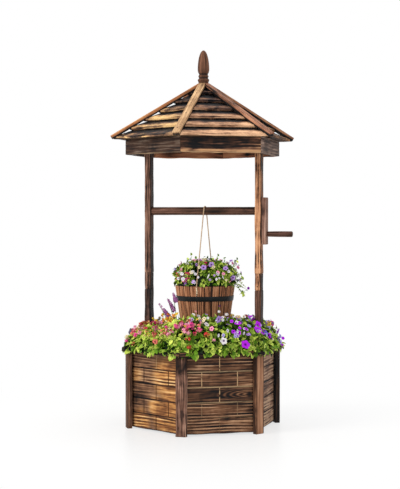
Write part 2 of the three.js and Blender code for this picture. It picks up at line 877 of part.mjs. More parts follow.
// Foliage round the bed: a ring with a dip below the bucket, spreading over the rim
function bedPlanting() {
  const throat = wallInnerApothem - soilInset - slotClearance;
  const bottom = soilTop + clearance;
  const overRim = rimTop + clearance;
  const dipRadius = bucketBottomRadius + (bedCrownRadius - bucketBottomRadius) / 2;
  const outline = new THREE.Path();
  outline.moveTo(0, bottom);
  outline.lineTo(throat, bottom);
  outline.lineTo(throat, overRim);
  outline.lineTo(bedSpreadRadius, overRim);
  outline.lineTo(bedSpreadRadius, bedSpreadHeight);
  outline.quadraticCurveTo(bedSpreadRadius, bedCrownHeight, bedCrownRadius, bedCrownHeight);
  outline.quadraticCurveTo(dipRadius, bedCrownHeight, dipRadius, bedDipHeight);
  outline.lineTo(0, bedDipHeight);
  const points = outline.getPoints(arcDivisions).map((point) => [point.x, point.y]);
  const mound = clumped(hexagonal(turned(points, 2 * roundSegments)), bedDipHeight, bedCrownHeight, clumpDepth);
  return cut(mound, ...uprightSlots(bottom, bedCrownHeight));
}

function bucketSoil() {
  const bottom = bucketBottom + bucketBottomInset + bucketBottomThickness + clearance;
  return fillOfBucket(bottom, bucketSoilTop, bucketSoilClearance);
}

// Foliage in the bucket, notched where the strands and knots pass
function bucketPlanting() {
  const bottom = bucketSoilTop + clearance;
  const throat = bucketInside(bottom) - bucketSoilClearance;
  const overRim = bucketTop + clearance;
  const outline = new THREE.Path();
  outline.moveTo(0, bottom);
  outline.lineTo(throat, bottom);
  outline.lineTo(throat, overRim);
  outline.lineTo(bucketTopRadius, overRim);
  outline.quadraticCurveTo(bucketSpreadRadius, overRim, bucketSpreadRadius, bucketSpreadHeight);
  outline.quadraticCurveTo(bucketSpreadRadius, bucketCrownHeight, 0, bucketCrownHeight);
  const points = outline.getPoints(arcDivisions).map((point) => [point.x, point.y]);
  const mound = turned(points);
  const lean = Math.tan(strandLean);
  const strandY = (height) => strandTopY + (strandTopZ - height) * lean - strandNotchMargin;
  const knotY = bucketInside(ropeHoleHeight) - knotLength - strandNotchMargin;
  const outside = bucketSpreadRadius + overrun;
  const low = bottom - overrun;
  const high = bucketCrownHeight + overrun;
  const notches = [-1, 1].map((side) => {
    const profile = [
      [side * knotY, low],
      [side * outside, low],
      [side * outside, high],
      [side * strandY(high), high],
      [side * strandY(bucketTop), bucketTop],
      [side * knotY, bucketTop],
    ];
    return crossBar(shapeOf(profile), -strandNotchWidth / 2, strandNotchWidth / 2);
  });
  return cut(mound, ...notches);
}

// Assembly

const well = new THREE.Group();
const hanging = new THREE.Group();
well.add(hanging);

function put(name, geometry, material, angle = 0, carrier = well) {
  const mesh = new THREE.Mesh(geometry, material);
  mesh.name = name;
  mesh.rotation.z = angle;
  carrier.add(mesh);
}

const faces = ["right", "rear_right", "rear_left", "left", "front_left", "front_right"];
const corners = ["rear_right", "rear", "rear_left", "front_left", "front", "front_right"];

const wallGeometry = wallPanel();
const rimGeometry = rimBoard();
const fasciaGeometry = fasciaBoard();
const roofGeometry = roofPanel();
faces.forEach((face, index) => {
  const angle = index * sectorAngle;
  put(`wall_panel_${face}`, wallGeometry.clone(), brownWood(), angle);
  put(`rim_${face}`, rimGeometry.clone(), darkWood(), angle);
  put(`fascia_${face}`, fasciaGeometry.clone(), darkWood(), angle);
  put(`roof_panel_${face}`, roofGeometry.clone(), tanWood(), angle);
});

const postGeometry = cornerPost();
const hipGeometry = hipBatten();
corners.forEach((corner, index) => {
  const angle = halfSector + index * sectorAngle;
  put(`corner_post_${corner}`, postGeometry.clone(), darkWood(), angle);
  put(`hip_batten_${corner}`, hipGeometry.clone(), tanWood(), angle);
});

put("floor_front", floorBoard(), brownWood());
put("floor_rear", floorBoard(), brownWood(), Math.PI);

const lowerGeometry = uprightLower();
const upperGeometry = uprightUpper();
[
  ["left", 0],
  ["right", Math.PI],
].forEach(([side, angle]) => {
  put(`upright_lower_${side}`, lowerGeometry.clone(), darkWood(), angle);
  put(`upright_upper_${side}`, upperGeometry.clone(), brownWood(), angle);
});

put("roof_bearer", roofBearer(), brownWood());
put("apex_block", apexBlock(), darkWood());
put("finial", finial(), darkWood());

put("roller", roller(), darkWood());
put("crank_arm", crankArm(), darkWood());
put("crank_handle", crankHandle(), brownWood());

put("bed_soil", bedSoil(), soil());
put("bed_planting", bedPlanting(), foliage());

const halfTurn = Math.PI;
put("bucket_staves", bucketStaves(), darkWood(), 0, hanging);
put("bucket_bottom", bucketBoard(), darkWood(), 0, hanging);
put("bucket_hoop", bucketHoop(), blackSteel(), 0, hanging);
put("bucket_soil", bucketSoil(), soil(), 0, hanging);
put("bucket_planting", bucketPlanting(), foliage(), 0, hanging);
put("rope_loop", ropeLoop(), jute(), 0, hanging);
put("rope_front", ropeStrand(), jute(), 0, hanging);
put("rope_rear", ropeStrand(), jute(), halfTurn, hanging);
put("rope_end_front", ropeEnd(), jute(), 0, hanging);
put("rope_end_rear", ropeEnd(), jute(), halfTurn, hanging);
hanging.position.x = hangOffset;

// The handle reaches past the roof on one side, so the middle of the box is off the axis
const hipTipReach = hipTipRadius * cornerFactor + (hipBattenWidth / 2) * Math.sin(halfSector);
well.position.x = (hipTipReach - handleEnd) / 2;

const group = new THREE.Group();
group.add(well);

export default group;
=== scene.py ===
import math

import bpy
import mathutils
import numpy as np
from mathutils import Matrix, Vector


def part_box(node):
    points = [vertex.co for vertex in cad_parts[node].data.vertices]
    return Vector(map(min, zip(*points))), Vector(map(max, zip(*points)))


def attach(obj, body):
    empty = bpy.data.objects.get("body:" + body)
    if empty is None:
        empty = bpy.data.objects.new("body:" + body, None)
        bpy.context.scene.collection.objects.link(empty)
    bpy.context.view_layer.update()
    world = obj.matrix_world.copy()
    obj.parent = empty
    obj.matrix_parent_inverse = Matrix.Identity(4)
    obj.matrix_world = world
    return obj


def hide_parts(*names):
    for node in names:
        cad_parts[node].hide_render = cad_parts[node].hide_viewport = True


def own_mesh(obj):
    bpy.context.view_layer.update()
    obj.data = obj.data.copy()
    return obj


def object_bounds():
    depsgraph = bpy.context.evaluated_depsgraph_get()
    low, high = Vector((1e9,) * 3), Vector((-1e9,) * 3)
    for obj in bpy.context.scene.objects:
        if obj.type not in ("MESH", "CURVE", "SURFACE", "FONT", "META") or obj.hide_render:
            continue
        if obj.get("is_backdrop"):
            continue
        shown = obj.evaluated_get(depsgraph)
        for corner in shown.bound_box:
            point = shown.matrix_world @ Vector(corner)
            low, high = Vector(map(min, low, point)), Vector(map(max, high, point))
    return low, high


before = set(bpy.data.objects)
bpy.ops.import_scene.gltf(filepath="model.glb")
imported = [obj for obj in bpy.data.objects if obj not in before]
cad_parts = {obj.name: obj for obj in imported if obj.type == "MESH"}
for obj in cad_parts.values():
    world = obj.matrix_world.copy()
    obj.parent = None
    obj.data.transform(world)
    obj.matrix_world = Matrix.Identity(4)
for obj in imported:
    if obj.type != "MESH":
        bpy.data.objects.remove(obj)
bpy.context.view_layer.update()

# Wishing well planter: charred and brushed fir round a planted bed, a slatted roof and a hanging bucket.
# Metres, +Z up, front corner post towards -Y, crank towards +X.

tau = 2 * math.pi
sixth = tau / 6
mitre = math.tan(sixth / 2)
hair = 0.0003  # left between pieces that meet
faceNames = ["right", "rear_right", "rear_left", "left", "front_left", "front_right"]
cornerNames = ["rear_right", "rear", "rear_left", "front_left", "front", "front_right"]
east, north, up = np.eye(3)


def nodeBox(node):
    return [np.array(corner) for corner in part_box(node)]


# Middle and size of a node's box
def nodeMiddle(node):
    low, high = nodeBox(node)
    return (low + high) / 2, high - low


axisX = nodeMiddle("finial")[0][0]  # the well's own axis
axis = np.array([axisX, 0.0, 0.0])


# The way outwards at an angle in the plane: its cosine and sine
def radial(angle):
    return np.array([math.cos(angle), math.sin(angle), 0.0])


# A quarter turn on from that
def tangent(angle):
    return np.array([-math.sin(angle), math.cos(angle), 0.0])


# Vectors scaled to length one
def unit(vectors):
    return vectors / np.maximum(np.linalg.norm(vectors, axis=-1, keepdims=True), 1e-9)


# Distance along a row of points
def runOf(points):
    return np.concatenate([[0], np.cumsum(np.hypot.reduce(np.diff(points, axis=0), axis=1))])


# The settings for one side, or the common ones
def lookOf(looks, name):
    return looks.get(name, looks[""])


print("frame loaded")

# Mesh arrays: a part is a dictionary with points, the corners' point numbers in "loops", the corners in each
# face in "sizes", a uv for each corner, and two vectors for each point that the finishes read.


def partOf(points, loops, sizes, uv, grain, lie):
    points, grain, lie = [values.reshape(-1, 3) for values in (points, grain, lie)]
    return dict(points=points, loops=loops.reshape(-1), sizes=sizes, uv=uv, grain=grain, lie=lie)


# A grid of rows by columns as quads. Closed columns wrap round. Uv of a corner comes from the row's u and the
# column's v, and v has one more value than there are columns when they wrap.
def gridFaces(rows, columns, u, v, wrap):
    i, j = np.meshgrid(np.arange(rows - 1), np.arange(columns if wrap else columns - 1), indexing="ij")
    corners = ((0, 0), (1, 0), (1, 1), (0, 1))
    loops = np.stack([(i + di) * columns + (j + dj) % columns for di, dj in corners], -1)
    uv = np.stack([np.stack([u[i + di], v[j + dj]], -1) for di, dj in corners], -2)
    return loops.reshape(-1), np.full(i.size, 4), uv.reshape(-1, 2)


# Turns a closed part's faces outwards: its volume is a third of the sum of face area times centre
def turnedOut(part):
    sizes, here = part["sizes"], part["points"][part["loops"]]
    starts = np.concatenate([[0], np.cumsum(sizes)[:-1]])
    first, count = np.repeat(starts, sizes), np.repeat(sizes, sizes)
    inFace = np.arange(len(here)) - first
    areas = np.add.reduceat(np.cross(here, here[first + (inFace + 1) % count]), starts, axis=0) / 2
    centres = np.add.reduceat(here, starts, axis=0) / sizes[:, None]
    if (areas * centres).sum() >= 0:
        return part
    back = first + count - 1 - inFace
    return dict(part, loops=part["loops"][back], uv=part["uv"][back])


# A closed tube: a grid whose columns wrap round, with a flat face at its first row and at its last
def tubePart(points, u, v, grain, lie, endUv=None):
    rows, columns = points.shape[:2]
    loops, sizes, uv = gridFaces(rows, columns, u, v, True)
    ring = np.arange(columns)
    loops = np.concatenate([loops, ring[::-1], (rows - 1) * columns + ring])
    endUv = np.zeros((columns, 2)) if endUv is None else endUv
    uv = np.concatenate([uv, endUv[::-1], endUv])
    return turnedOut(partOf(points, loops, np.append(sizes, [columns, columns]), uv, grain, lie))


def addObject(name, data):
    made = bpy.data.objects.new(name, data)
    bpy.context.scene.collection.objects.link(made)
    return made


# One object from parts, on its body, in its finish, standing for CAD nodes
def makePiece(name, parts, finish, body, nodes=(), sharp=40):
    whole = {key: np.concatenate([part[key] for part in parts]) for key in parts[0]}
    counts = np.cumsum([0] + [len(part["points"]) for part in parts])
    loops = np.concatenate([part["loops"] + count for part, count in zip(parts, counts)])
    mesh = bpy.data.meshes.new(name)
    mesh.vertices.add(len(whole["points"]))
    mesh.vertices.foreach_set("co", whole["points"].astype(np.float32).reshape(-1))
    mesh.loops.add(len(loops))
    mesh.loops.foreach_set("vertex_index", loops.astype(np.int32))
    mesh.polygons.add(len(whole["sizes"]))
    starts = np.concatenate([[0], np.cumsum(whole["sizes"])[:-1]])
    mesh.polygons.foreach_set("loop_start", starts.astype(np.int32))
    mesh.update(calc_edges=True)
    uv = mesh.uv_layers.new(name="UVMap")
    uv.data.foreach_set("uv", whole["uv"].astype(np.float32).reshape(-1))
    for key in ("grain", "lie"):
        layer = mesh.attributes.new(key, "FLOAT_VECTOR", "POINT")
        layer.data.foreach_set("vector", whole[key].astype(np.float32).reshape(-1))
    mesh.polygons.foreach_set("use_smooth", np.ones(len(starts), bool))
    mesh.set_sharp_from_angle(angle=math.radians(sharp))
    mesh.materials.append(finish)
    piece = addObject(name, mesh)
    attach(piece, body)
    if nodes:
        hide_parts(*nodes)
    return piece


# A board's section as y, z rows: a rounded rectangle from the middle of the back, round over the +z face
def boardSection(width, thickness, rounding, faceSteps, sideSteps):
    wide, thick = width / 2, thickness / 2
    y, z = wide - rounding, thick - rounding
    turn = np.linspace(0, tau / 4, 4)[1:]
    outline = [np.array([[0.0, -thick]])]

    def straight(start, end, steps):
        shares = np.linspace(0, 1, steps + 1)[1:, None]
        outline.append(np.array(start) + shares * np.subtract(end, start))

    sides = (
        ((0, -thick), (y, -thick), 2, y, -z, -tau / 4),
        ((wide, -z), (wide, z), sideSteps, y, z, 0),
        ((y, thick), (-y, thick), faceSteps, -y, z, tau / 4),
        ((-wide, z), (-wide, -z), sideSteps, -y, -z, tau / 2),
    )
    for start, end, steps, cornerY, cornerZ, first in sides:
        straight(start, end, steps)
        arc = [cornerY + rounding * np.cos(first + turn), cornerZ + rounding * np.sin(first + turn)]
        outline.append(np.stack(arc, -1))
    straight((-y, -thick), (0, -thick), 2)
    return np.concatenate(outline)[:-1]


# Raised grain: sines across the board whose phase and height wander along it, from -1 to 1
def raisedGrain(draw, u, v, pitch, sway=1.0):
    phase = 0
    for _ in range(3):
        amount, length = draw.uniform(0.06, 0.2), draw.uniform(0.12, 0.6)
        phase = phase + amount * np.sin(u * tau / length + v * draw.uniform(-9, 9) + draw.uniform(0, tau))
    phase = sway * phase
    coarse = np.sin(tau * (v / pitch + phase) + draw.uniform(0, tau))
    fine = np.sin(tau * (v / (0.43 * pitch) + 1.6 * phase) + draw.uniform(0, tau))
    swell = np.sin(u * tau / draw.uniform(0.05, 0.2) + v * draw.uniform(20, 80) + draw.uniform(0, tau))
    return (0.75 + 0.25 * swell) * (0.68 * coarse + 0.32 * fine)


plainBoard = dict(
    rounding=0.0016, faceSteps=10, sideSteps=3, step=0.012, pitch=0.009, relief=0.0003, wave=0.0004, sway=1.0,
    ribShow=1.0, fade=0.006,  # the relief fades out this near to the middle of the back
)


# A closed board along axes[0], its width along axes[1] and its face towards axes[2]: a point is its station
# along the board plus its place in the section, pushed out by the relief. The ends lean by slopes in y and
# z, the far end is narrower by the taper, the bow hollows it across, and joints are grooves cut across its
# face. Marks say how much tan wood shows in the joints, which are charred below zero, and along the edges.
def plank(
    draw, size, origin, axes, board, startSlope=(0, 0), endSlope=(0, 0), taper=1.0, joints=(), bow=0.0,
    tone=None, marks=(1.0, 1.0),
):
    length, width, thickness = size
    rounding = board["rounding"]
    section = boardSection(width, thickness, rounding, board["faceSteps"], board["sideSteps"])
    stations = np.linspace(rounding, length - rounding, max(int(length / board["step"]), 2))
    for joint in joints:
        half = board["jointWidth"] / 2
        stations = np.append(stations, [joint - half, joint - half / 3, joint + half / 3, joint + half])
    stations = np.unique(np.concatenate([[0.0, rounding / 3, length - rounding / 3, length], stations]))
    edge = np.clip(np.minimum(stations, length - stations) / rounding, 0, 1)
    inset = (rounding * (1 - np.sqrt(np.clip(1 - (1 - edge) ** 2, 0, 1))))[:, None]
    closed = np.concatenate([section, section[:1]])
    v = runOf(closed)
    ahead = np.diff(closed, axis=0)
    ahead = ahead / np.hypot(ahead[:, 0], ahead[:, 1])[:, None]
    outward = np.stack([ahead[:, 1], -ahead[:, 0]], -1)
    outY, outZ = unit(outward + np.roll(outward, 1, axis=0)).T[:, None]
    u2, v2 = stations[:, None], v[None, :-1]
    rib = raisedGrain(draw, u2, v2, board["pitch"], board["sway"])
    lift = board["relief"] * rib * np.clip(np.minimum(v2, v[-1] - v2) / board["fade"], 0, 1)
    wander = board["wave"] * sum(
        np.sin(u2 * tau / draw.uniform(0.05, 0.25) + draw.uniform(0, tau) + v2 * draw.uniform(-9, 9))
        for _ in range(3)
    )
    joined = np.zeros_like(rib)
    onFace = (outZ > 0.4) * 1.0
    for joint in joints:
        depth = np.clip(1 - np.abs(u2 - joint) / (board["jointWidth"] / 2), 0, 1)
        joined = np.maximum(joined, np.clip(2.5 * depth, 0, 1) * onFace)
        lift = lift - np.minimum(depth * 1.5, 1) * board["jointDepth"] * onFace
    shoulder = np.abs(outY) * np.abs(outZ) * 2 * (outZ > 0)
    share = u2 / length
    y = section[None, :, 0] * (1 - 2 * inset / width) + outY * (lift + wander)
    z = section[None, :, 1] * (1 - 2 * inset / thickness) + outZ * lift
    y = y * (1 + (taper - 1) * share)
    z = z - bow * y**2
    x = (startSlope[0] * y + startSlope[1] * z) * (1 - share) + (endSlope[0] * y + endSlope[1] * z) * share
    x = x + u2 - length / 2
    points = np.asarray(origin) + x[..., None] * axes[0] + y[..., None] * axes[1] + z[..., None] * axes[2]
    shift = draw.uniform(0, 20, 2)
    endUv = np.stack([section[:, 1] * 0.3, section[:, 0]], -1) + shift + 0.5
    tone = draw.uniform(0, 1) if tone is None else tone
    flat = np.zeros_like(rib)
    grain = np.stack([rib * board["ribShow"], flat + tone, joined * marks[0]], -1)
    lie = np.stack([share + flat, section[None, :, 0] / width + 0.5 + flat, shoulder * marks[1] + flat], -1)
    return tubePart(points, stations + shift[0], v + shift[1], grain, lie, endUv)


# A turned piece: radius and height rows carried round an axis, closed at both ends on the axis
def turnedPart(draw, profile, segments, origin, axes, relief=0.0, pitch=0.008):
    profile = np.asarray(profile)
    inner = profile[1:-1]
    around = np.arange(segments)
    angles = around / segments * tau
    run = runOf(profile)[1:-1]
    widest = inner[:, 0].max()
    rib = raisedGrain(draw, run[:, None], widest * angles[None, :], pitch)
    radius = inner[:, 0, None] + relief * rib
    points = np.stack([radius * np.cos(angles), radius * np.sin(angles), inner[:, 1, None] + 0 * radius], -1)
    count = points[..., 0].size
    local = np.concatenate([points.reshape(-1, 3), [[0, 0, profile[0, 1]], [0, 0, profile[-1, 1]]]])
    shift = draw.uniform(0, 20, 2)
    wraps = np.arange(segments + 1) / segments * tau * widest + shift[1]
    loops, sizes, uv = gridFaces(len(inner), segments, run + shift[0], wraps, True)
    beside = (around + 1) % segments
    last = count - segments
    first = np.stack([np.full(segments, count), around, beside], -1)
    final = np.stack([np.full(segments, count + 1), last + beside, last + around], -1)
    caps = np.concatenate([first, final]).reshape(-1)
    uv = np.concatenate([uv, local[caps][:, :2] * [0.3, 1] + shift])
    tone = np.full(len(local), draw.uniform(0, 1))
    ribs = np.append(rib.reshape(-1), [0, 0])
    share = (local[:, 2] - profile[0, 1]) / (profile[-1, 1] - profile[0, 1])
    grain, lie = np.stack([ribs, tone, 0 * ribs], -1), np.stack([share, 0.5 + 0 * ribs, 0 * ribs], -1)
    placed, loops = np.asarray(origin) + local @ np.array(axes), np.concatenate([loops, caps])
    return turnedOut(partOf(placed, loops, np.append(sizes, np.full(2 * segments, 3)), uv, grain, lie))


# Finishes


# A node tree, with short calls that add a node and link what it is given
class Nodes:
    def __init__(self, tree):
        self.tree = tree

    def node(self, kind, inputs=None, **settings):
        made = self.tree.nodes.new("ShaderNode" + kind)
        for key, value in settings.items():
            setattr(made, key, value)
        for key, value in (inputs or {}).items():
            self.put(made.inputs[key], value)
        return made

    def put(self, socket, value):
        if isinstance(value, bpy.types.NodeSocket):
            self.tree.links.new(value, socket)
        else:
            socket.default_value = (*value, 1.0) if socket.type == "RGBA" else value

    def math(self, operation, *values):
        return self.node("Math", dict(enumerate(values)), operation=operation).outputs[0]

    def times(self, first, second):
        return self.math("MULTIPLY", first, second)

    # A base plus each value times its amount
    def sum(self, base, *terms):
        for value, amount in terms:
            base = self.math("MULTIPLY_ADD", value, amount, base)
        return base

    def uv(self):
        return self.node("UVMap", uv_map="UVMap").outputs[0]

    def place(self):
        return self.node("TexCoord").outputs["Object"]

    def scaled(self, vector, scale):
        scale = scale if isinstance(scale, tuple) else (scale,) * 3
        return self.node("VectorMath", {0: vector, 1: scale}, operation="MULTIPLY").outputs[0]

    def distance(self, vector, centre):
        return self.node("VectorMath", {0: vector, 1: centre}, operation="DISTANCE").outputs["Value"]

    def noise(self, vector, scale, detail=3.0, roughness=0.55, distortion=0.0):
        inputs = {"Scale": 1.0, "Detail": detail, "Roughness": roughness, "Distortion": distortion}
        return self.node("TexNoise", {"Vector": self.scaled(vector, scale), **inputs}).outputs["Fac"]

    def ramp(self, factor, places, colours):
        made = self.node("ValToRGB", {"Fac": factor})
        elements = made.color_ramp.elements
        while len(elements) < len(places):
            elements.new(1.0)
        for element, place, colour in zip(elements, places, colours):
            element.position = place
            element.color = (*colour, 1.0)
        return made.outputs["Color"]

    def mapped(self, value, low, high, toLow=0.0, toHigh=1.0):
        inputs = {"Value": value, "From Min": low, "From Max": high, "To Min": toLow, "To Max": toHigh}
        return self.node("MapRange", inputs, interpolation_type="SMOOTHSTEP").outputs[0]

    def mix(self, factor, first, second, blend="MIX"):
        inputs = {0: factor, 6: first, 7: second}
        return self.node("Mix", inputs, data_type="RGBA", blend_type=blend).outputs[2]

    def attribute(self, name):
        vector = self.node("Attribute", attribute_name=name).outputs["Vector"]
        return tuple(self.node("SeparateXYZ", {0: vector}).outputs)

    # How much of a ray comes straight from the camera, from a mirror or through glass
    def seenShare(self):
        rays = self.node("LightPath").outputs
        seen = self.math("MAXIMUM", rays["Is Camera Ray"], rays["Is Glossy Ray"])
        return self.math("MAXIMUM", seen, rays["Is Transmission Ray"])


# A material: its colour, roughness and bump come from nodes, and its other levels are the same all over
class Finish(Nodes):
    def __init__(self, name):
        self.material = bpy.data.materials.new(name)
        self.material.use_nodes = True
        super().__init__(self.material.node_tree)
        self.shader = self.tree.nodes["Principled BSDF"]

    def surface(self, colour, roughness, bump=None, specular=0.5, sheen=0.0):
        inputs = self.shader.inputs
        self.put(inputs["Base Color"], colour)
        self.put(inputs["Roughness"], roughness)
        inputs["Specular IOR Level"].default_value = specular
        inputs["Sheen Weight"].default_value = sheen
        if bump:
            settings = dict(zip(("Height", "Strength", "Distance"), bump))
            self.put(inputs["Normal"], self.node("Bump", settings).outputs[0])
        return self.material


woodLook = dict(
    char=(0.005, 0.005, 0.006),
    dark=(0.048, 0.023, 0.014),
    mid=(0.17, 0.082, 0.040),
    light=(0.42, 0.235, 0.115),
    joint=(0.56, 0.38, 0.20),
    steps=(0.08, 0.34, 0.60, 0.92),  # where char, dark, mid and light lie between lowest and highest
    rib=0.30,  # how much the raised grain shows in the colour
    tone=0.22,  # how much one board differs from the next
    base=0.0,  # lighter or darker as a whole
    burnt=0.45,  # share of the surface that is charred black
    burntScale=7.0,
    jointShow=1.0,
    edgeShow=0.0,
    seamDark=0.0,  # how dark the board's long edges are
    seamWidth=0.05,  # how far that reaches in, as a share of the board's width
    contrast=1.2,
    topDark=0.0,  # painted shade towards a board's upper edge, under the board above it
    lowLight=0.0,  # how light it is towards its lower edge
    farDark=0.0,  # how dark its far end is
    roughness=0.62,
    bare=((0.07, 0.03, 0.015), (0.30, 0.12, 0.04), (0.72, 0.37, 0.12), (0.92, 0.66, 0.34)),
    bareSteps=(0.14, 0.36, 0.58, 0.92),
    patch=0.5,  # how much light and dark patches show
    patchScale=9.0,
    glow=(),  # places with bare, golden wood: centre, radius, amount
    knots=(),  # dark knots: centre, radius, how far the flame grain round it reaches
    flamePitch=0.024,
)


def coloursOf(look):
    return [look[key] for key in ("char", "dark", "mid", "light")]


# Charred and brushed fir: streaks along the grain, raised ribs lighter than the hollows between them, black
# scorch marks, tan where a groove is cut through the char, and painted shade towards a board's upper edge
# where a look asks for it. The height of the wood, from charred to bare, is a weighted sum of all that, and
# the colours lie along it.
def woodFinish(name, **changes):
    look = dict(woodLook, **changes)
    made = Finish(name)
    uv, place = made.uv(), made.place()
    rib, tone, joint = made.attribute("grain")
    along, across, shoulder = made.attribute("lie")
    broad = made.noise(uv, (6, 150, 0), 4, 0.6, 0.6)
    fine = made.noise(uv, (24, 1100, 0), 3, 0.6)
    patch = made.noise(place, look["patchScale"], 3, 0.6)
    worn = made.mapped(made.noise(uv, (7, 50, 0), 2), 0.38, 0.62, 0.1, 1.2)
    lines = made.times(made.sum(-0.8, (made.mapped(rib, -0.5, 0.95), 2.0)), worn)
    base = look["base"] - (look["tone"] + look["patch"]) / 2 - 0.29
    height = made.sum(
        base, (broad, 1.1), (lines, look["rib"]), (fine, 0.34), (tone, look["tone"]), (patch, look["patch"])
    )
    for centre, radius, spread in look["knots"]:
        if spread:
            far = made.distance(made.scaled(place, (1, 1, 5)), (centre[0], centre[1], centre[2] * 5))
            far = made.sum(far, (broad, 0.02))
            flame = made.math("SINE", made.times(far, tau / look["flamePitch"]))
            height = made.sum(height, (made.times(flame, made.mapped(far, spread, spread * 0.6)), 0.16))
        away = made.sum(made.distance(place, centre), (broad, radius * 1.6))
        height = made.sum(height, (made.mapped(away, radius * 2.4, radius * 0.7), -0.42))
    beside = made.math("ABSOLUTE", made.math("SUBTRACT", across, 0.5))
    seam = 0.525 - 1.4 * look["seamWidth"], 0.525 - 0.5 * look["seamWidth"]
    # The fades: a darker far end, darker long edges, painted shade towards the upper edge, and a lighter
    # lower edge
    fades = (
        (-look["farDark"], along, 0.2, 0.84, 0.98), (-look["seamDark"], beside, 0.05, *seam),
        (-look["topDark"], across, 0.5, 0.6, 1.05), (look["lowLight"], across, 0.25, 0.44, 0.26),
    )
    for amount, way, blur, start, end in fades:
        if amount:
            height = made.sum(height, (made.mapped(made.sum(way, (broad, blur)), start, end), amount))
    height = made.sum(height, (made.math("MINIMUM", joint, 0.0), 0.9))
    height = made.sum(0.5 - 0.5 * look["contrast"], (height, look["contrast"]))
    colour = made.ramp(height, look["steps"], coloursOf(look))
    scorch = made.noise(place, look["burntScale"], 4, 0.65, 0.4)
    burnt = made.mapped(scorch, 0.62 - 0.2 * look["burnt"], 0.75 - 0.2 * look["burnt"])
    burnt = made.times(burnt, made.mapped(height, 0.75, 0.45))
    colour = made.mix(made.times(burnt, 0.8), colour, look["char"])
    glow = 0.0
    for centre, radius, amount in look["glow"]:
        away = made.sum(made.distance(place, centre), (broad, radius * 0.9))
        glow = made.math("MAXIMUM", glow, made.times(made.mapped(away, radius * 1.75, radius * 0.95), amount))
    if look["glow"]:
        colour = made.mix(glow, colour, made.ramp(height, look["bareSteps"], look["bare"]))
    bare = made.mapped(made.sum(made.noise(uv, (11, 60, 0), 2), (fine, 0.3)), 0.42, 0.64)
    cutThrough = made.times(joint, look["jointShow"])
    edges = made.times(shoulder, look["edgeShow"])
    colour = made.mix(made.times(made.math("MAXIMUM", cutThrough, edges), bare), colour, look["joint"])
    roughness = made.mapped(height, 0.1, 0.9, look["roughness"] - 0.1, look["roughness"] + 0.12)
    return made.surface(colour, roughness, (made.sum(fine, (broad, 0.6)), 0.5, 0.0009), specular=0.10)


# A wooden piece: its parts, the CAD node it stands for, its material's name and look
def woodPiece(name, parts, node, material, look, body="well", sharp=40):
    makePiece(name, parts, woodFinish(material, **look), body, [node], sharp)


print("tools ready")

# Camera, floor and lights

viewLook = dict(
    place=(1.3410, -4.7400, 0.7682), azimuth=16.11, drop=1.18, lens=98.53, sensor=36.0,
    width=400, height=489,  # of the picture, in pixels
)
aside, drop = math.radians(viewLook["azimuth"]), math.radians(viewLook["drop"])
eye = np.array(viewLook["place"])
rightward = radial(aside)
ahead = np.array([-math.sin(aside) * math.cos(drop), math.cos(aside) * math.cos(drop), -math.sin(drop)])
upward = np.cross(rightward, ahead)
studio = dict(
    floorSize=30.0,
    floorColour=(0.90, 0.90, 0.90),
    backdrop=(1.0, 1.0, 1.0),
    plainNear=0.66,  # share of plain white in the floor beside the object, so that its shadow still shows
    plainReach=(0.35, 1.3),
    ambient=0.62,
    aim=(axisX, 0, 0.6),
    lamps=(
        ("key", (-2.6, -3.0, 2.6), 2.0, 120.0, (1.0, 0.95, 0.88)),
        ("fill", (2.8, -3.2, 1.4), 2.4, 34.0, (0.95, 0.97, 1.0)),
        ("top", (0.4, 0.6, 3.6), 2.0, 40.0, (1.0, 1.0, 1.0)),
    ),
)


# A lamp or the camera at a place, looking along a way
def stand(name, data, place, way):
    made = addObject(name, data)
    made.location = place
    made.rotation_mode = "QUATERNION"
    made.rotation_quaternion = mathutils.Vector(way).to_track_quat("-Z", "Y")
    return made


def addCamera():
    lens = bpy.data.cameras.new("camera")
    lens.lens, lens.sensor_width = viewLook["lens"], viewLook["sensor"]
    bpy.context.scene.camera = stand("camera", lens, eye, ahead)


def addStudio():
    scene = bpy.context.scene
    scene.view_settings.view_transform = "Standard"
    scene.world = bpy.data.worlds.new("studio")
    scene.world.use_nodes = True
    sky = Nodes(scene.world.node_tree)
    background = sky.tree.nodes["Background"].inputs
    sky.put(background["Color"], studio["backdrop"])
    sky.put(background["Strength"], sky.mapped(sky.seenShare(), 0.0, 1.0, studio["ambient"], 1.0))

    half = studio["floorSize"] / 2
    mesh = bpy.data.meshes.new("floor")
    corners = [(-half, -half, 0), (half, -half, 0), (half, half, 0), (-half, half, 0)]
    mesh.from_pydata(corners, [], [(0, 1, 2, 3)])
    made = Finish("floor")
    place = made.place()
    made.surface(studio["floorColour"], made.mapped(made.noise(place, 40), 0.3, 0.7, 0.30, 0.36))
    white = made.node("Emission", {"Color": studio["backdrop"], "Strength": 1.0}).outputs[0]
    away = made.distance(made.scaled(place, (1, 1, 0)), (axisX, 0, 0))
    plain = made.times(made.seenShare(), made.mapped(away, *studio["plainReach"], studio["plainNear"], 1.0))
    blend = made.node("MixShader", {0: plain, 1: made.shader.outputs[0], 2: white})
    made.put(made.tree.nodes["Material Output"].inputs["Surface"], blend.outputs[0])
    mesh.materials.append(made.material)
    addObject("floor", mesh)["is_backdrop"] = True

    for name, place, size, power, colour in studio["lamps"]:
        lamp = bpy.data.lights.new(name, "AREA")
        lamp.size, lamp.energy, lamp.color = size, power, colour
        stand(name, lamp, place, np.subtract(studio["aim"], place))


addCamera()
addStudio()
print("camera, floor and lights made")

# Walls

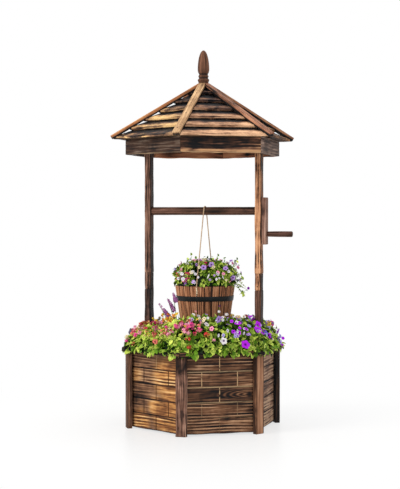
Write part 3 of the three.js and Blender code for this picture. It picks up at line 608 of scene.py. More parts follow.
walls = dict(
    thickness=0.013,
    rows=5,
    tones=(0.62, 0.40, 0.12, 0.60, 0.45),  # from the lowest board up
    # how far the grain stands out in a row, from the lowest board up
    ribs={
        "front_right": (0.7, 0.5, 0.12, 0.35, 0.75), "front_left": (0.8, 0.12, 0.12, 0.75, 0.35),
        "right": (0.5, 0.6, 0.3, 0.6, 0.4), "": (0.7, 0.4, 0.15, 0.6, 0.5),
    },
    # how much tan shows in a row's joints and along its edges, from the lowest board up
    marks={
        "front_right": ((0.15, 0.0), (0.3, 0.45), (1.0, 0.9), (0.9, 0.9), (1.0, 0.5)),
        "front_left": ((-1.0, 0.0), (-1.0, 0.0), (-0.3, 0.0), (-0.8, 0.0), (1.0, 0.0)),
        "": ((0.2, 0.0), (0.3, 0.1), (0.5, 0.3), (0.3, 0.1), (0.5, 0.2)),
    },
    brickOffset=0.064,
    faceHalf=0.1329,  # half a wall's length at its outer face
    backHalf=0.1281,
    battenOffset=0.1,
    battenSize=(0.028, 0.015),
    battenGap=0.004,  # under the wall's top
    ledge=(0.018, 0.022, 0.020),  # width, height and middle height
    bite=0.0004,  # how far battens and ledge reach into the boards
    board=dict(
        plainBoard, rounding=0.002, faceSteps=40, sideSteps=2, relief=0.0008, wave=0.0003, pitch=0.0112,
        sway=0.45, jointWidth=0.0042, jointDepth=0.0018,
    ),
)


# A wall: rows of mitred planks one above the other, their grooves staggered like bricks, with two upright
# battens and a ledge inside
def wallBoards(face, seed):
    draw = np.random.default_rng(seed)
    name, beside, outward = faceNames[face], tangent(face * sixth), radial(face * sixth)
    rows = zip(lookOf(walls["ribs"], name), lookOf(walls["marks"], name), walls["tones"])
    low, high = nodeBox("wall_panel_right")
    outer, bottom, top = high[0] - axisX, low[2], high[2]
    thickness, plain = walls["thickness"], walls["board"]
    height = (top - bottom) / walls["rows"]
    length = walls["faceHalf"] + walls["backHalf"]
    lean = (walls["faceHalf"] - walls["backHalf"]) / thickness
    parts = []
    for row, (rib, marks, tone) in enumerate(rows):
        offsets = (-walls["brickOffset"], walls["brickOffset"]) if row % 2 else (0.0,)
        sway = plain["sway"] / max(rib, 0.2) ** 0.7
        board = dict(plain, relief=plain["relief"] * rib, ribShow=rib, sway=sway)
        centre = axis + (outer - thickness / 2) * outward + (bottom + (row + 0.5) * height) * up
        joints = [offset + length / 2 for offset in offsets]
        parts.append(plank(
            draw, (length, height, thickness), centre, (beside, up, outward), board, (0, -lean), (0, lean),
            joints=joints, tone=tone, marks=marks,
        ))
    width, depth = walls["battenSize"]
    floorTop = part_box("floor_front")[1][2]
    length = top - walls["battenGap"] - floorTop
    inner = outer - thickness - depth / 2 + walls["bite"]
    for side in (-1, 1):
        centre = axis + inner * outward + side * walls["battenOffset"] * beside + (floorTop + length / 2) * up
        parts.append(plank(draw, (length, width, depth), centre, (up, beside, -outward), plainBoard))
    width, height, middle = walls["ledge"]
    inner = outer - thickness - width / 2 + walls["bite"]
    centre, size = axis + inner * outward + middle * up, (2 * inner * mitre - 0.001, height, width)
    parts.append(plank(draw, size, centre, (beside, up, outward), plainBoard, (0, -mitre), (0, mitre)))
    return parts


# Bare patches on the front left wall: share of the way along it from the left, height, radius, amount
barePatches = (
    (0.70, 0.195, 0.070, 0.95), (0.86, 0.125, 0.076, 1.0), (0.66, 0.060, 0.058, 0.95),
    (0.20, 0.030, 0.045, 0.9), (0.10, 0.197, 0.032, 0.45), (0.90, 0.235, 0.062, 1.0),
    (0.50, 0.09, 0.038, 0.8), (0.92, 0.03, 0.055, 0.9),
)
wallFinishes = {
    "front_left": dict(
        base=0.08, rib=0.30, burnt=0.3, tone=0.1, seamDark=0.75, seamWidth=0.045, patch=0.8, contrast=1.3,
        mid=(0.20, 0.10, 0.055), light=(0.52, 0.31, 0.16),
        glow=[
            ((axisX - 0.234 * (1 - share), -0.135 - 0.135 * share, height), radius, amount)
            for share, height, radius, amount in barePatches
        ],
    ),
    "front_right": dict(
        base=0.10, rib=0.34, burnt=0.3, tone=0.34, edgeShow=1.0, seamDark=0.4, seamWidth=0.045, patch=0.6,
        contrast=1.45, mid=(0.185, 0.085, 0.044), light=(0.50, 0.29, 0.165), joint=(0.66, 0.45, 0.25),
        knots=[((axisX + 0.2106, -0.1485, 0.141), 0.009, 0.16)],
    ),
    # Painted light: the right wall's wood is lighter, to make up for its facing away from the key lamp
    "right": dict(
        base=0.27, rib=0.34, burnt=0.45, contrast=1.35, seamDark=0.5, mid=(0.19, 0.10, 0.067),
        light=(0.48, 0.32, 0.21), jointShow=0.6, patch=0.7,
    ),
    "": dict(base=0.10, rib=0.26, burnt=0.4, seamDark=0.5),
}

for face, name in enumerate(faceNames):
    boards, look = wallBoards(face, 10 + face), lookOf(wallFinishes, name)
    woodPiece("wall_boards_" + name, boards, "wall_panel_" + name, "wall_" + name, look)
print("walls made")

# Corner posts, rims and fascias

frameBoard = dict(plainBoard, faceSteps=14, rounding=0.0015, pitch=0.011, relief=0.0005)
postFinishes = {
    "front_left": dict(base=0.12, rib=0.14, burnt=0.3, mid=(0.18, 0.09, 0.055), light=(0.42, 0.26, 0.17)),
    "front": dict(
        base=0.10, rib=0.14, burnt=0.5, burntScale=12.0, farDark=0.16, patch=0.7, contrast=1.35,
        mid=(0.20, 0.10, 0.07), light=(0.46, 0.28, 0.20),
    ),
    "front_right": dict(
        base=0.34, rib=0.06, contrast=1.0, burnt=0.1, mid=(0.28, 0.13, 0.07), light=(0.48, 0.26, 0.15),
        seamDark=0.35, seamWidth=0.1,
    ),
    "": dict(base=-0.06, burnt=0.7),
}
middle, size = nodeMiddle("corner_post_rear")
for corner, name in enumerate(cornerNames):
    angle = (corner + 0.5) * sixth
    centre, axes = axis + middle[1] * radial(angle) + middle[2] * up, (up, -tangent(angle), radial(angle))
    post = plank(np.random.default_rng(30 + corner), size[[2, 0, 1]], centre, axes, frameBoard)
    look = lookOf(postFinishes, name)
    woodPiece("post_board_" + name, [post], "corner_post_" + name, "post_" + name, look)

rearFascia = dict(base=0.20, burnt=0.2, mid=(0.26, 0.095, 0.05), light=(0.46, 0.20, 0.10))
fasciaFinishes = {
    "front_left": dict(
        base=0.06, rib=0.18, contrast=1.15, burnt=0.4, patch=0.8, mid=(0.135, 0.095, 0.072),
        light=(0.32, 0.23, 0.17), edgeShow=0.5, knots=[((-0.03, -0.26, 1.03), 0.014, 0.0)],
    ),
    "front_right": dict(
        base=-0.12, rib=0.2, burnt=0.5, lowLight=0.4, patch=1.0, contrast=1.4, mid=(0.17, 0.08, 0.05),
        light=(0.54, 0.30, 0.15), edgeShow=0.9, knots=[((0.03, -0.26, 1.03), 0.022, 0.0)],
    ),
    "rear_left": rearFascia,
    "rear_right": dict(rearFascia, knots=[((0.10, 0.205, 1.01), 0.014, 0.0)]),
    "": dict(
        base=0.04, rib=0.18, contrast=1.3, burnt=0.4, patch=0.9, mid=(0.15, 0.10, 0.08),
        light=(0.38, 0.26, 0.20),
    ),
}
rimFinish = dict(base=-0.1, burnt=0.7)
mitreGap = 0.0007


# A mitred board of the hexagon, as wide across as its node's box: a rim lies flat, a fascia stands
def mitredBoard(draw, node, angle, flat, board):
    middle, size = nodeMiddle(node)
    reach = middle[0] - axisX
    length, centre = 2 * reach * mitre - mitreGap, axis + reach * radial(angle) + middle[2] * up
    if flat:
        axes = (tangent(angle), -radial(angle), up)
        return plank(draw, (length, size[0], size[2]), centre, axes, board, (mitre, 0), (-mitre, 0))
    axes = (tangent(angle), up, radial(angle))
    return plank(draw, (length, size[2], size[0]), centre, axes, board, (0, -mitre), (0, mitre))


for face, name in enumerate(faceNames):
    draw = np.random.default_rng(50 + face)
    rim = mitredBoard(draw, "rim_right", face * sixth, True, dict(frameBoard, rounding=0.0022))
    woodPiece("rim_board_" + name, [rim], "rim_" + name, "rim_" + name, rimFinish)
    fascia = mitredBoard(draw, "fascia_right", face * sixth, False, frameBoard)
    look = lookOf(fasciaFinishes, name)
    woodPiece("fascia_board_" + name, [fascia], "fascia_" + name, "fascia_" + name, look)
print("posts, rims and fascias made")

# Roof

roof = dict(
    rows=6,
    footDistance=0.28665,  # the lowest slat's lower edge, from the axis
    footHeight=1.050,
    rowPitch=0.047631,
    rowRise=0.033,
    slatSlope=22.5,
    slatWidth=0.062,
    slatThickness=0.009,
    slatGap=0.0008,  # between two panels' slats
    rafterSize=(0.028, 0.018),
    rafterGap=0.001,  # how far the slats' upper edges lie below the rafter's top
    fasciaRoom=0.019,  # between a rafter's end and the fascia's face
    tailLength=0.0178,  # of the block on which the rafter rests at the fascia
    blockApothem=0.0163,
    hipWidth=0.0255,
    hipThickness=0.015,
    hipTip=0.346,
    hipNails=(0.028, 0.052, 0.14, 0.22, 0.30),  # along a hip batten, from its lower end
    hipShadeBelow=-0.0015,  # a hip batten is painted near black below this height of its section, as painted shade on its shadow side
    board=dict(plainBoard, faceSteps=14, sideSteps=2, pitch=0.013, relief=0.0004, wave=0.0017),
    tailBoard=dict(plainBoard, rounding=0.001, relief=0.0002),
    hipBoard=dict(
        plainBoard, faceSteps=8, sideSteps=2, rounding=0.0015, pitch=0.008, step=0.014, wave=0.0005
    ),
    tones={
        "front_left": (0.4, 0.95, 0.85, 0.55, 0.1, 0.0),
        "front_right": (1.0, 0.85, 0.6, 0.5, 0.05, 0.0),
        "": (0.5, 0.8, 0.3, 0.7, 0.4, 0.1),
    },
)
slatLean = math.radians(roof["slatSlope"])
roofSlope = roof["rowRise"] / roof["rowPitch"]
roofLean = math.atan(roofSlope)
hipSlope = roofSlope * math.cos(sixth / 2)
hipLean = math.atan(hipSlope)


# Directions on a slope that rises towards the axis: up the slope, across it and out of it
def slopeAxes(angle, lean):
    away, rise, run = radial(angle), math.sin(lean), math.cos(lean)
    return -run * away + rise * up, tangent(angle), rise * away + run * up


# A slat: a plank across the panel, each row a pitch further in and a rise higher, mitred at the hips
def slatPlank(draw, face, row):
    angle, thickness = faceNames.index(face) * sixth, roof["slatThickness"]
    upSlope, beside, facing = slopeAxes(angle, slatLean)
    rise, run = math.sin(slatLean), math.cos(slatLean)
    foot, height = roof["footDistance"] - row * roof["rowPitch"], roof["footHeight"] + row * roof["rowRise"]
    top = row == roof["rows"] - 1
    width = (foot - roof["blockApothem"]) / run if top else roof["slatWidth"]
    centre = axis + foot * radial(angle) + height * up + width / 2 * upSlope + thickness / 2 * facing
    middle = foot - width / 2 * run + thickness / 2 * rise
    size, tone = (2 * middle * mitre - roof["slatGap"], width, thickness), lookOf(roof["tones"], face)[row]
    lean = np.array([run * mitre, -rise * mitre])
    return plank(draw, size, centre, (beside, upSlope, facing), roof["board"], lean, -lean, tone=tone)


# Height of a rafter's top at a distance from the axis, on a straight line up to the apex
def rafterTop(distance):
    edge = roof["footDistance"] - roof["slatWidth"] * math.cos(slatLean)
    height = roof["footHeight"] + roof["slatWidth"] * math.sin(slatLean) + roof["rafterGap"]
    return height + (edge - distance) * roofSlope


# A panel: its slats on a rafter, which is a plank down the slope with a level block at its foot
def roofPanel(face, seed):
    draw = np.random.default_rng(seed)
    angle = face * sixth
    away = radial(angle)
    parts = [slatPlank(draw, faceNames[face], row) for row in range(roof["rows"])]
    width, depth = roof["rafterSize"]
    high = nodeBox("fascia_right")[1]
    far = high[0] - axisX
    inner, block = far - roof["fasciaRoom"], roof["blockApothem"]
    middle = (inner + block) / 2
    axes = slopeAxes(angle, roofLean)
    centre = axis + middle * away + rafterTop(middle) * up - depth / 2 * axes[2]
    size, lean = ((inner - block) / math.cos(roofLean), width, depth), (0, math.tan(roofLean))
    parts.append(plank(draw, size, centre, axes, plainBoard, lean, lean))
    tail, seat = roof["tailLength"], high[2] + hair
    depth = rafterTop(far) - seat
    centre = axis + (far - tail / 2) * away + (seat + depth / 2) * up
    parts.append(plank(draw, (tail + 0.002, width, depth), centre, (-away, axes[1], up), roof["tailBoard"]))
    return parts


# Slats, here and for the other panels below: painted shade on each slat towards its upper edge, where the
# slat above overhangs it
slatFinish = dict(
    base=0.10, rib=0.14, tone=0.5, topDark=0.7, burnt=0.7, burntScale=19.0, patch=1.2, patchScale=15.0,
    contrast=1.4, char=(0.006, 0.006, 0.007), dark=(0.095, 0.05, 0.037),
)
roofFinishes = {
    "front_left": dict(
        slatFinish, base=0.06, burnt=0.75, patchScale=17.0, dark=(0.085, 0.05, 0.037),
        mid=(0.30, 0.165, 0.09), light=(0.84, 0.55, 0.25),
    ),
    "front_right": dict(slatFinish, mid=(0.34, 0.17, 0.097), light=(0.76, 0.46, 0.27)),
    "": dict(
        base=0.10, rib=0.12, tone=0.45, topDark=0.6, burnt=0.55, burntScale=15.0, patch=0.9, patchScale=15.0
    ),
}
for face, name in enumerate(faceNames):
    panel, look = roofPanel(face, 70 + face), lookOf(roofFinishes, name)
    woodPiece("roof_slats_" + name, panel, "roof_panel_" + name, "slats_" + name, look)

nail = dict(radius=0.0022, proud=0.0007)


# A nail's head: a low domed profile turned round the way that it faces
def nailHead(draw, place, facing):
    aside = unit(np.cross(facing, up) if abs(facing[2]) < 0.9 else east)
    radius, proud = nail["radius"], nail["proud"]
    profile = [(0, -proud), (radius * 0.9, -proud), (radius, 0), (radius * 0.9, proud * 0.6)]
    profile += [(radius * 0.5, proud), (0, proud)]
    head = turnedPart(draw, profile, 10, place, (aside, np.cross(facing, aside), facing))
    head["grain"][:, 1] = -4  # dark in the wood's own finish
    return head


# A hip batten: a plank up the line where two panels meet, cut to a point at the apex, with nails along it
def hipBatten(corner, seed):
    draw = np.random.default_rng(seed)
    angle = (corner + 0.5) * sixth
    away, thickness = radial(angle), roof["hipThickness"]
    axes = upSlope, beside, facing = slopeAxes(angle, hipLean)
    foot = roof["hipTip"] - thickness * math.sin(hipLean)
    length = (foot - roof["blockApothem"] + thickness / 2 * math.sin(hipLean)) / math.cos(hipLean)
    size = (length, roof["hipWidth"], thickness)
    footHeight = nodeBox("hip_batten_rear")[0][2]
    centre = axis + foot * away + footHeight * up + length / 2 * upSlope + thickness / 2 * facing
    batten = plank(draw, size, centre, axes, roof["hipBoard"], endSlope=(0, hipSlope))
    reach, across = (batten["points"] - axis) @ away, (batten["points"] - axis) @ beside
    limit = np.maximum(reach * mitre - 0.0002, 0.001)
    batten["points"] += (np.clip(across, -limit, limit) - across)[:, None] * beside
    # Painted shade on the batten's lower half
    batten["grain"][((batten["points"] - centre) @ facing) < roof["hipShadeBelow"], 1] -= 4.0
    parts = [batten]
    for place in roof["hipNails"]:
        spot = centre + (place - length / 2) * upSlope + thickness / 2 * facing
        parts.append(nailHead(draw, spot + draw.uniform(-0.003, 0.003) * beside, facing))
    return parts


# A place on the front right hip batten, a distance from the axis
def nearHip(reach):
    return tuple(axis + reach * radial(sixth * 5.5) + (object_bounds()[1][2] - 0.122 - reach * hipSlope) * up)


hipFinishes = {
    "front_left": dict(base=0.26, rib=0.1, burnt=0.15, mid=(0.40, 0.16, 0.07), light=(0.66, 0.34, 0.14)),
    "front": dict(
        base=0.22, rib=0.1, contrast=1.0, burnt=0.2, patch=0.8, patchScale=16.0, mid=(0.40, 0.235, 0.12),
        light=(0.74, 0.49, 0.27), knots=[((axisX + 0.005, -0.335, 1.052), 0.005, 0.0)],
    ),
    "front_right": dict(
        base=0.14, rib=0.1, burnt=0.35, burntScale=14.0, patch=0.8, mid=(0.34, 0.15, 0.09),
        light=(0.58, 0.30, 0.18), knots=[(nearHip(0.14), 0.008, 0.0), (nearHip(0.235), 0.006, 0.0)],
    ),
    "rear_right": dict(base=0.22, rib=0.1, burnt=0.2, mid=(0.38, 0.17, 0.09), light=(0.60, 0.34, 0.18)),
    "": dict(base=0.06, burnt=0.5, mid=(0.22, 0.09, 0.05)),
}
for corner, name in enumerate(cornerNames):
    batten, look = hipBatten(corner, 90 + corner), lookOf(hipFinishes, name)
    woodPiece("hip_board_" + name, batten, "hip_batten_" + name, "hip_" + name, look)

finial = dict(
    base=0.0188, ring=0.0212, groove=0.0168, neck=0.0162, body=0.0213,  # radii
    tenon=0.006,
    ringHeight=(0.0095, 0.0055),  # middle over the foot, and half the height
    beadHeight=(0.024, 0.004),
    grooveTop=0.02,  # these three over the foot
    neckTop=0.032,
    bodyHeight=0.0495,
    hollow=(0.0174, 0.03),  # painted shade in the grooves: inside this radius, up to this height over the ring
    finish=dict(
        base=0.10, burnt=0.3, rib=0.1, contrast=1.1, mid=(0.17, 0.076, 0.044), light=(0.35, 0.175, 0.105)
    ),
)


# Turned outline from tenon to tip: half ellipses for the ring, the bead and the egg-shaped body
def finialOutline():
    low, high = nodeBox("finial")
    foot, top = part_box("apex_block")[1][2] + hair, high[2]
    base, groove, neck, body, tenon = [finial[key] for key in ("base", "groove", "neck", "body", "tenon")]

    def ellipse(arc, inside, out, middle, rise):
        return np.stack([inside + out * np.cos(arc), middle + rise * np.sin(arc)], -1)

    arc = np.linspace(-tau / 4, tau / 4, 9)
    (ringMiddle, ringHalf), (beadMiddle, beadHalf) = finial["ringHeight"], finial["beadHeight"]
    ring = ellipse(arc, groove, finial["ring"] - groove, foot + ringMiddle, ringHalf)
    bead = ellipse(arc, neck, base - neck, foot + beadMiddle, beadHalf)
    start, middle = -math.acos(neck / body), foot + finial["bodyHeight"]
    rise = (middle - (foot + finial["neckTop"])) / -math.sin(start)
    lower = ellipse(np.linspace(start, 0, 10), 0, body, middle, rise)
    upper = ellipse(np.linspace(0, tau / 4, 16), 0, body, middle, top - middle)
    upper[-1, 0] = 0
    start = [(0, low[2]), (tenon - 0.0001, low[2]), (tenon, foot), (base - 0.001, foot)]
    start += [(base, foot + 0.001), (base, foot + 0.004)]
    return np.concatenate([start, ring, [(groove, foot + finial["grooveTop"])], bead[1:], lower, upper[1:]])


plainAxes = (east, north, up)
draw = np.random.default_rng(110)
knob = turnedPart(draw, finialOutline(), 40, axis, plainAxes, relief=0.0003, pitch=0.006)
# Painted shade: the finial's grooves and neck are darker
away, (hollow, rise) = knob["points"] - axis, finial["hollow"]
hollow = (np.linalg.norm(away[:, :2], axis=1) < hollow) & (away[:, 2] < finialOutline()[6, 1] + rise)
knob["grain"][hollow, 1] -= 0.9
woodPiece("finial_knob", [knob], "finial", "finial", finial["finish"], sharp=50)
print("roof made")

# Uprights, bearer, roller and crank

longBoard = dict(plainBoard, faceSteps=8, sideSteps=8, step=0.016, pitch=0.009, relief=0.0004)
splice = dict(
    length=0.02, gap=0.0004, aside=0.0002, nailRise=0.014, nailDrop=0.012, sideShade=0.85, sideReach=0.0022,
    tongueDark=0.55,
)


# An upright board between two corners, with painted shade on its side towards the crank
def standing(draw, low, high):
    low, high = np.array(low), np.array(high)
    board = plank(draw, (high - low)[[2, 0, 1]], (low + high) / 2, (up, -east, -north), longBoard)
    # Painted shade: the side face towards the crank is darker
    board["grain"][board["points"][:, 0] > high[0] - splice["sideReach"], 1] -= splice["sideShade"]
    return board


# Both boards of an upright, each with a tongue half as deep that laps onto the other
def uprightParts(side, draw):
    low, high = nodeBox("upright_lower_" + side)
    lowUpper, highUpper = nodeBox("upright_upper_" + side)
    gap, aside, length = splice["gap"], splice["aside"], splice["length"]
    end, start = lowUpper[2] - gap, high[2] + gap
    tongue = standing(draw, (low[0] + aside, aside, end - length), high - [aside, aside, 0])
    lower = [standing(draw, low, (high[0], high[1], end)), tongue]
    tongue = standing(draw, lowUpper + [aside, aside, 0], (highUpper[0] - aside, -aside, start + length))
    upper = [standing(draw, (lowUpper[0], lowUpper[1], start), highUpper), tongue]
    if side == "right":
        tongue = upper[1]
        tongue["grain"][tongue["points"][:, 2] < start, 1] -= splice["tongueDark"]
    for height in (end + splice["nailRise"], start - splice["nailDrop"]):
        place = np.array([(low[0] + high[0]) / 2 + draw.uniform(-0.004, 0.004), lowUpper[1], height])
        upper.append(nailHead(draw, place, -north))
    return lower, upper


uprightFinishes = {
    "low_left": dict(
        base=0.02, rib=0.16, burnt=0.4, contrast=1.4, mid=(0.15, 0.085, 0.07), light=(0.36, 0.23, 0.18)
    ),
    "high_left": dict(
        base=0.12, rib=0.14, burnt=0.4, contrast=1.4, patch=0.7, mid=(0.20, 0.10, 0.07),
        light=(0.44, 0.26, 0.18),
    ),
    "low_right": dict(base=0.06, rib=0.12, burnt=0.35, mid=(0.20, 0.095, 0.065), light=(0.36, 0.21, 0.15)),
    "high_right": dict(
        base=0.22, rib=0.14, burnt=0.4, burntScale=11.0, contrast=1.6, patch=0.9, patchScale=13.0,
        mid=(0.42, 0.185, 0.092), light=(0.68, 0.37, 0.20),
    ),
}
for count, side in enumerate(("left", "right")):
    lower, upper = uprightParts(side, np.random.default_rng(120 + count))
    look, node = uprightFinishes["low_" + side], "upright_lower_" + side
    woodPiece("upright_foot_" + side, lower, node, "upright_low_" + side, look)
    look, node = uprightFinishes["high_" + side], "upright_upper_" + side
    woodPiece("upright_head_" + side, upper, node, "upright_high_" + side, look)

draw = np.random.default_rng(130)
middle, size = nodeMiddle("roof_bearer")
beam = plank(draw, size[[0, 2, 1]], middle, (east, up, -north), longBoard)
woodPiece("bearer_beam", [beam], "roof_bearer", "bearer", dict(base=-0.02, burnt=0.5))

crank = dict(
    tenonRadius=0.010, shoulder=0.1983, edge=0.001, corner=0.0012,
    gripTenon=0.006, waistRadius=0.0094, gripRound=0.004,
    roller=dict(base=0.06, rib=0.06, burnt=0.4, mid=(0.18, 0.088, 0.062), light=(0.34, 0.19, 0.14)),
    arm=dict(base=0.14, rib=0.12, burnt=0.4, mid=(0.20, 0.10, 0.07), light=(0.42, 0.26, 0.20)),
    handle=dict(base=0.0, rib=0.1, burnt=0.4, mid=(0.17, 0.08, 0.062), light=(0.32, 0.17, 0.13)),
)
alongX = (north, up, east)


# Half the roller's outline from its middle to one end, as radius and place along it
def rollerHalf(radius, end):
    tenon, shoulder, edge, corner = [crank[key] for key in ("tenonRadius", "shoulder", "edge", "corner")]
    return [
        (radius, shoulder - corner), (radius - corner, shoulder), (tenon, shoulder), (tenon, end - edge),
        (tenon - edge, end), (0, end),
    ]


middle, size = nodeMiddle("roller")
hub = np.array([axisX, 0.0, middle[2]])
low, high = nodeBox("roller")
shoulder, radius = crank["shoulder"], size[2] / 2
outline = [(wide, -place) for wide, place in rollerHalf(radius, axisX - low[0])[::-1]]
outline += [(radius, place) for place in np.linspace(-shoulder, shoulder, 30)[1:-1]]
outline += rollerHalf(radius, high[0] - axisX)
log = turnedPart(draw, outline, 36, hub, alongX, relief=0.0003, pitch=0.008)
log["lie"][:, 1] = 0.3
woodPiece("roller_log", [log], "roller", "roller", crank["roller"], body="windlass")

middle, size = nodeMiddle("crank_arm")
arm = plank(draw, size[[2, 1, 0]], middle, (up, north, east), longBoard)
woodPiece("crank_board", [arm], "crank_arm", "crank", crank["arm"], body="windlass")

middle, size = nodeMiddle("crank_handle")
(start, _, _), (end, _, _) = nodeBox("crank_handle")
radius, waist, tenon, rounding = size[2] / 2, crank["waistRadius"], crank["gripTenon"], crank["gripRound"]
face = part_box("crank_arm")[1][0] + hair
shares = np.linspace(0, 1, 10)
swell = waist + (radius - waist) * np.sin(shares * tau / 4)
turn = np.linspace(0, tau / 4, 6)[1:-1]
outline = [(0, start), (tenon, start), (tenon, face), (waist - crank["edge"], face)]
outline += list(zip(swell, face + 0.0008 + shares * (end - face) / 2))
outline += [(radius, place) for place in np.linspace((face + end) / 2, end - rounding, 6)[1:]]
outline += list(zip(radius - rounding + rounding * np.cos(turn), end - rounding + rounding * np.sin(turn)))
outline += [(radius - rounding, end), (0, end)]
grip = turnedPart(draw, outline, 28, [0, 0, middle[2]], alongX, relief=0.0002, pitch=0.006)
woodPiece("handle_grip", [grip], "crank_handle", "handle", crank["handle"], "windlass")
print("uprights, bearer, roller and crank made")

# Bucket

pail = dict(
    staves=24, staveGap=0.0007, thickness=0.009, footRadius=0.089, topRadius=0.1105, bow=2.0,
    board=dict(plainBoard, faceSteps=8, sideSteps=1, step=0.016, pitch=0.007, wave=0.0001),
    finish=dict(
        base=0.20, burnt=0.2, tone=0.3, rib=0.2, contrast=1.35, dark=(0.08, 0.03, 0.014),
        mid=(0.33, 0.135, 0.065), light=(0.50, 0.26, 0.145), seamDark=0.6, seamWidth=0.045,
    ),
)
middle, size = nodeMiddle("bucket_staves")
pailAxis = np.array([middle[0], 0.0, 0.0])
pailLow, pailHigh = middle[2] - size[2] / 2, middle[2] + size[2] / 2


# The bucket widens evenly from its foot to its top
def pailRadius(height):
    share = (height - pailLow) / (pailHigh - pailLow)
    return pail["footRadius"] + (pail["topRadius"] - pail["footRadius"]) * share


# Staves: planks in a ring that lean outwards, narrower at the foot and hollowed across
def staveParts():
    draw = np.random.default_rng(140)
    foot, top, thickness, gap = pail["footRadius"], pail["topRadius"], pail["thickness"], pail["staveGap"]
    rise, half = pailHigh - pailLow, math.pi / pail["staves"]
    lean = math.atan((top - foot) / rise)
    width = 2 * foot * math.sin(half) - gap
    size, taper = (rise / math.cos(lean), width, thickness), (2 * top * math.sin(half) - gap) / width
    end, parts = (0, math.tan(lean)), []
    for number in range(pail["staves"]):
        angle = (number + 0.5) * 2 * half
        facing = math.cos(lean) * radial(angle) - math.sin(lean) * up
        along = math.sin(lean) * radial(angle) + math.cos(lean) * up
        place = (foot + top) / 2 * math.cos(half) * radial(angle) + (pailLow + pailHigh) / 2 * up
        centre, axes = pailAxis + place - thickness / 2 * facing, (along, tangent(angle), facing)
        parts.append(plank(draw, size, centre, axes, pail["board"], end, end, taper=taper, bow=pail["bow"]))
    return parts


woodPiece("stave_ring", staveParts(), "bucket_staves", "staves", pail["finish"], body="bucket")

hoop = dict(
    thickness=0.0016, turns=1.035, start=0.55 * math.pi, lapFrom=0.995, lapRun=0.012, steps=193,
    lapOut=0.9, clearance=0.0004, rivets=(1.006, 1.022), rivetOut=0.0024,
    paint=((0.002, 0.003, 0.003), (0.004, 0.006, 0.007), (0.015, 0.026, 0.028)), rust=(0.10, 0.045, 0.02),
    # section: share of the height, and how far it stands out in halves of the thickness
    section=((-0.5, 0.7), (-0.44, 1), (0.0, 1.25), (0.44, 1), (0.5, 0.7), (0.5, 0), (-0.5, 0)),
)


# A thin band round the staves, its free end lapped over its start and held by two rivets
def hoopParts():
    draw = np.random.default_rng(150)
    middle, size = nodeMiddle("bucket_hoop")
    steps, half = hoop["steps"], hoop["thickness"] / 2
    turns = np.arange(steps) / (steps - 1) * hoop["turns"]
    angles = np.linspace(0, tau * hoop["turns"], steps) + hoop["start"]
    over = np.clip((turns - hoop["lapFrom"]) / hoop["lapRun"], 0, 1)
    rows, outs = np.array(hoop["section"]).T
    heights, out = middle[2] + rows * size[2], outs * half
    radius = pailRadius(heights) * 1.0005 + hoop["clearance"] + out + over[:, None] * half * hoop["lapOut"]
    ways = np.stack([np.cos(angles), np.sin(angles)], -1)[:, None]
    points = np.concatenate([radius[..., None] * ways, (heights + 0 * radius)[..., None]], -1) + pailAxis
    v = runOf(np.stack([heights, out], -1))
    zero = np.zeros(points.shape)
    parts = [tubePart(points, angles * 0.1, np.append(v, v[-1] + size[2]), zero, zero.copy())]
    for share in hoop["rivets"]:
        way = radial(share * tau + hoop["start"])
        place = pailAxis + (pailRadius(middle[2]) + hoop["rivetOut"]) * way + middle[2] * up
        parts.append(nailHead(draw, place, way))
    return parts


# Black painted steel: a cool sheen, fine brush marks round the band and rust freckles
def steelFinish():
    made = Finish("hoop")
    place = made.place()
    marks = made.noise(made.uv(), (60, 1500, 0), 3)
    cloud = made.noise(place, 55, 4, 0.6)
    paint = made.ramp(cloud, (0.3, 0.6, 0.8), hoop["paint"])
    rust = made.mapped(made.noise(place, 420, 2), 0.66, 0.74)
    colour = made.mix(made.times(rust, 0.6), paint, hoop["rust"])
    bump = (made.math("ADD", marks, rust), 0.35, 0.0003)
    return made.surface(colour, made.mapped(marks, 0.3, 0.7, 0.36, 0.52), bump, specular=0.18)


makePiece("hoop_band", hoopParts(), steelFinish(), "bucket", ["bucket_hoop"])


# For the solid pieces that stay as they are: the same charred wood, its streaks long where the scale is small
def solidWood(name, scale, base):
    made = Finish(name)
    place = made.place()
    streak = made.noise(place, scale, 4, 0.6, 0.5)
    height = made.sum(base - 0.3, (streak, 1.0), (made.noise(place, 14, 3, 0.6), 0.6))
    colour = made.ramp(height, (0.1, 0.4, 0.65, 0.95), coloursOf(woodLook))
    return made.surface(colour, made.mapped(streak, 0.3, 0.7, 0.6, 0.75), (streak, 0.5, 0.0008))


# A finish for CAD nodes that stay
def dress(finish, *nodes):
    for node in nodes:
        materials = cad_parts[node].data.materials
        materials.clear()
        materials.append(finish)


dress(solidWood("floor_boards", (7, 160, 160), 0.0), "floor_front", "floor_rear")
dress(solidWood("bucket_board", (9, 220, 220), -0.05), "bucket_bottom")
dress(solidWood("apex", (160, 160, 7), -0.05), "apex_block")
print("bucket made")

# Rope

rope = dict(
    radius=0.0022,
    lay=0.011,  # length of one full twist
    step=0.0014,
    sides=7,  # of each ply
    plyShare=0.56,
    turnRadius=0.0171,  # round the roller
    lean=19.13,
    strandTop=(0.01611, 0.79559),
    strandEnd=(0.1131, 0.5154),
    keep=0.582,  # share of a strand's height that is left when the bucket is wound up
    holeHeight=0.491,
    faceReach=0.1092,
    bend=0.005,
    knotReach=0.0905,
    knotRadius=0.003,
    knotPitch=0.0022,
    worn=(0.95, 0.012),  # how pale a tail is, and over what length it gets so
    fibre=0.00022,
    # loose fibres: how many and how long
    turnFuzz=(30, 0.006),
    strandFuzz=(90, 0.007),
    tailFuzz=(20, 0.006),
    tassel=dict(count=110, length=0.015, spread=0.18, droop=2.2, pale=1.0),
)
ropeX = pailAxis[0]


# Points along a path at given distances from its start
def alongPath(path, places):
    run = runOf(path)
    return np.stack([np.interp(places, run, path[:, k]) for k in range(3)], -1)


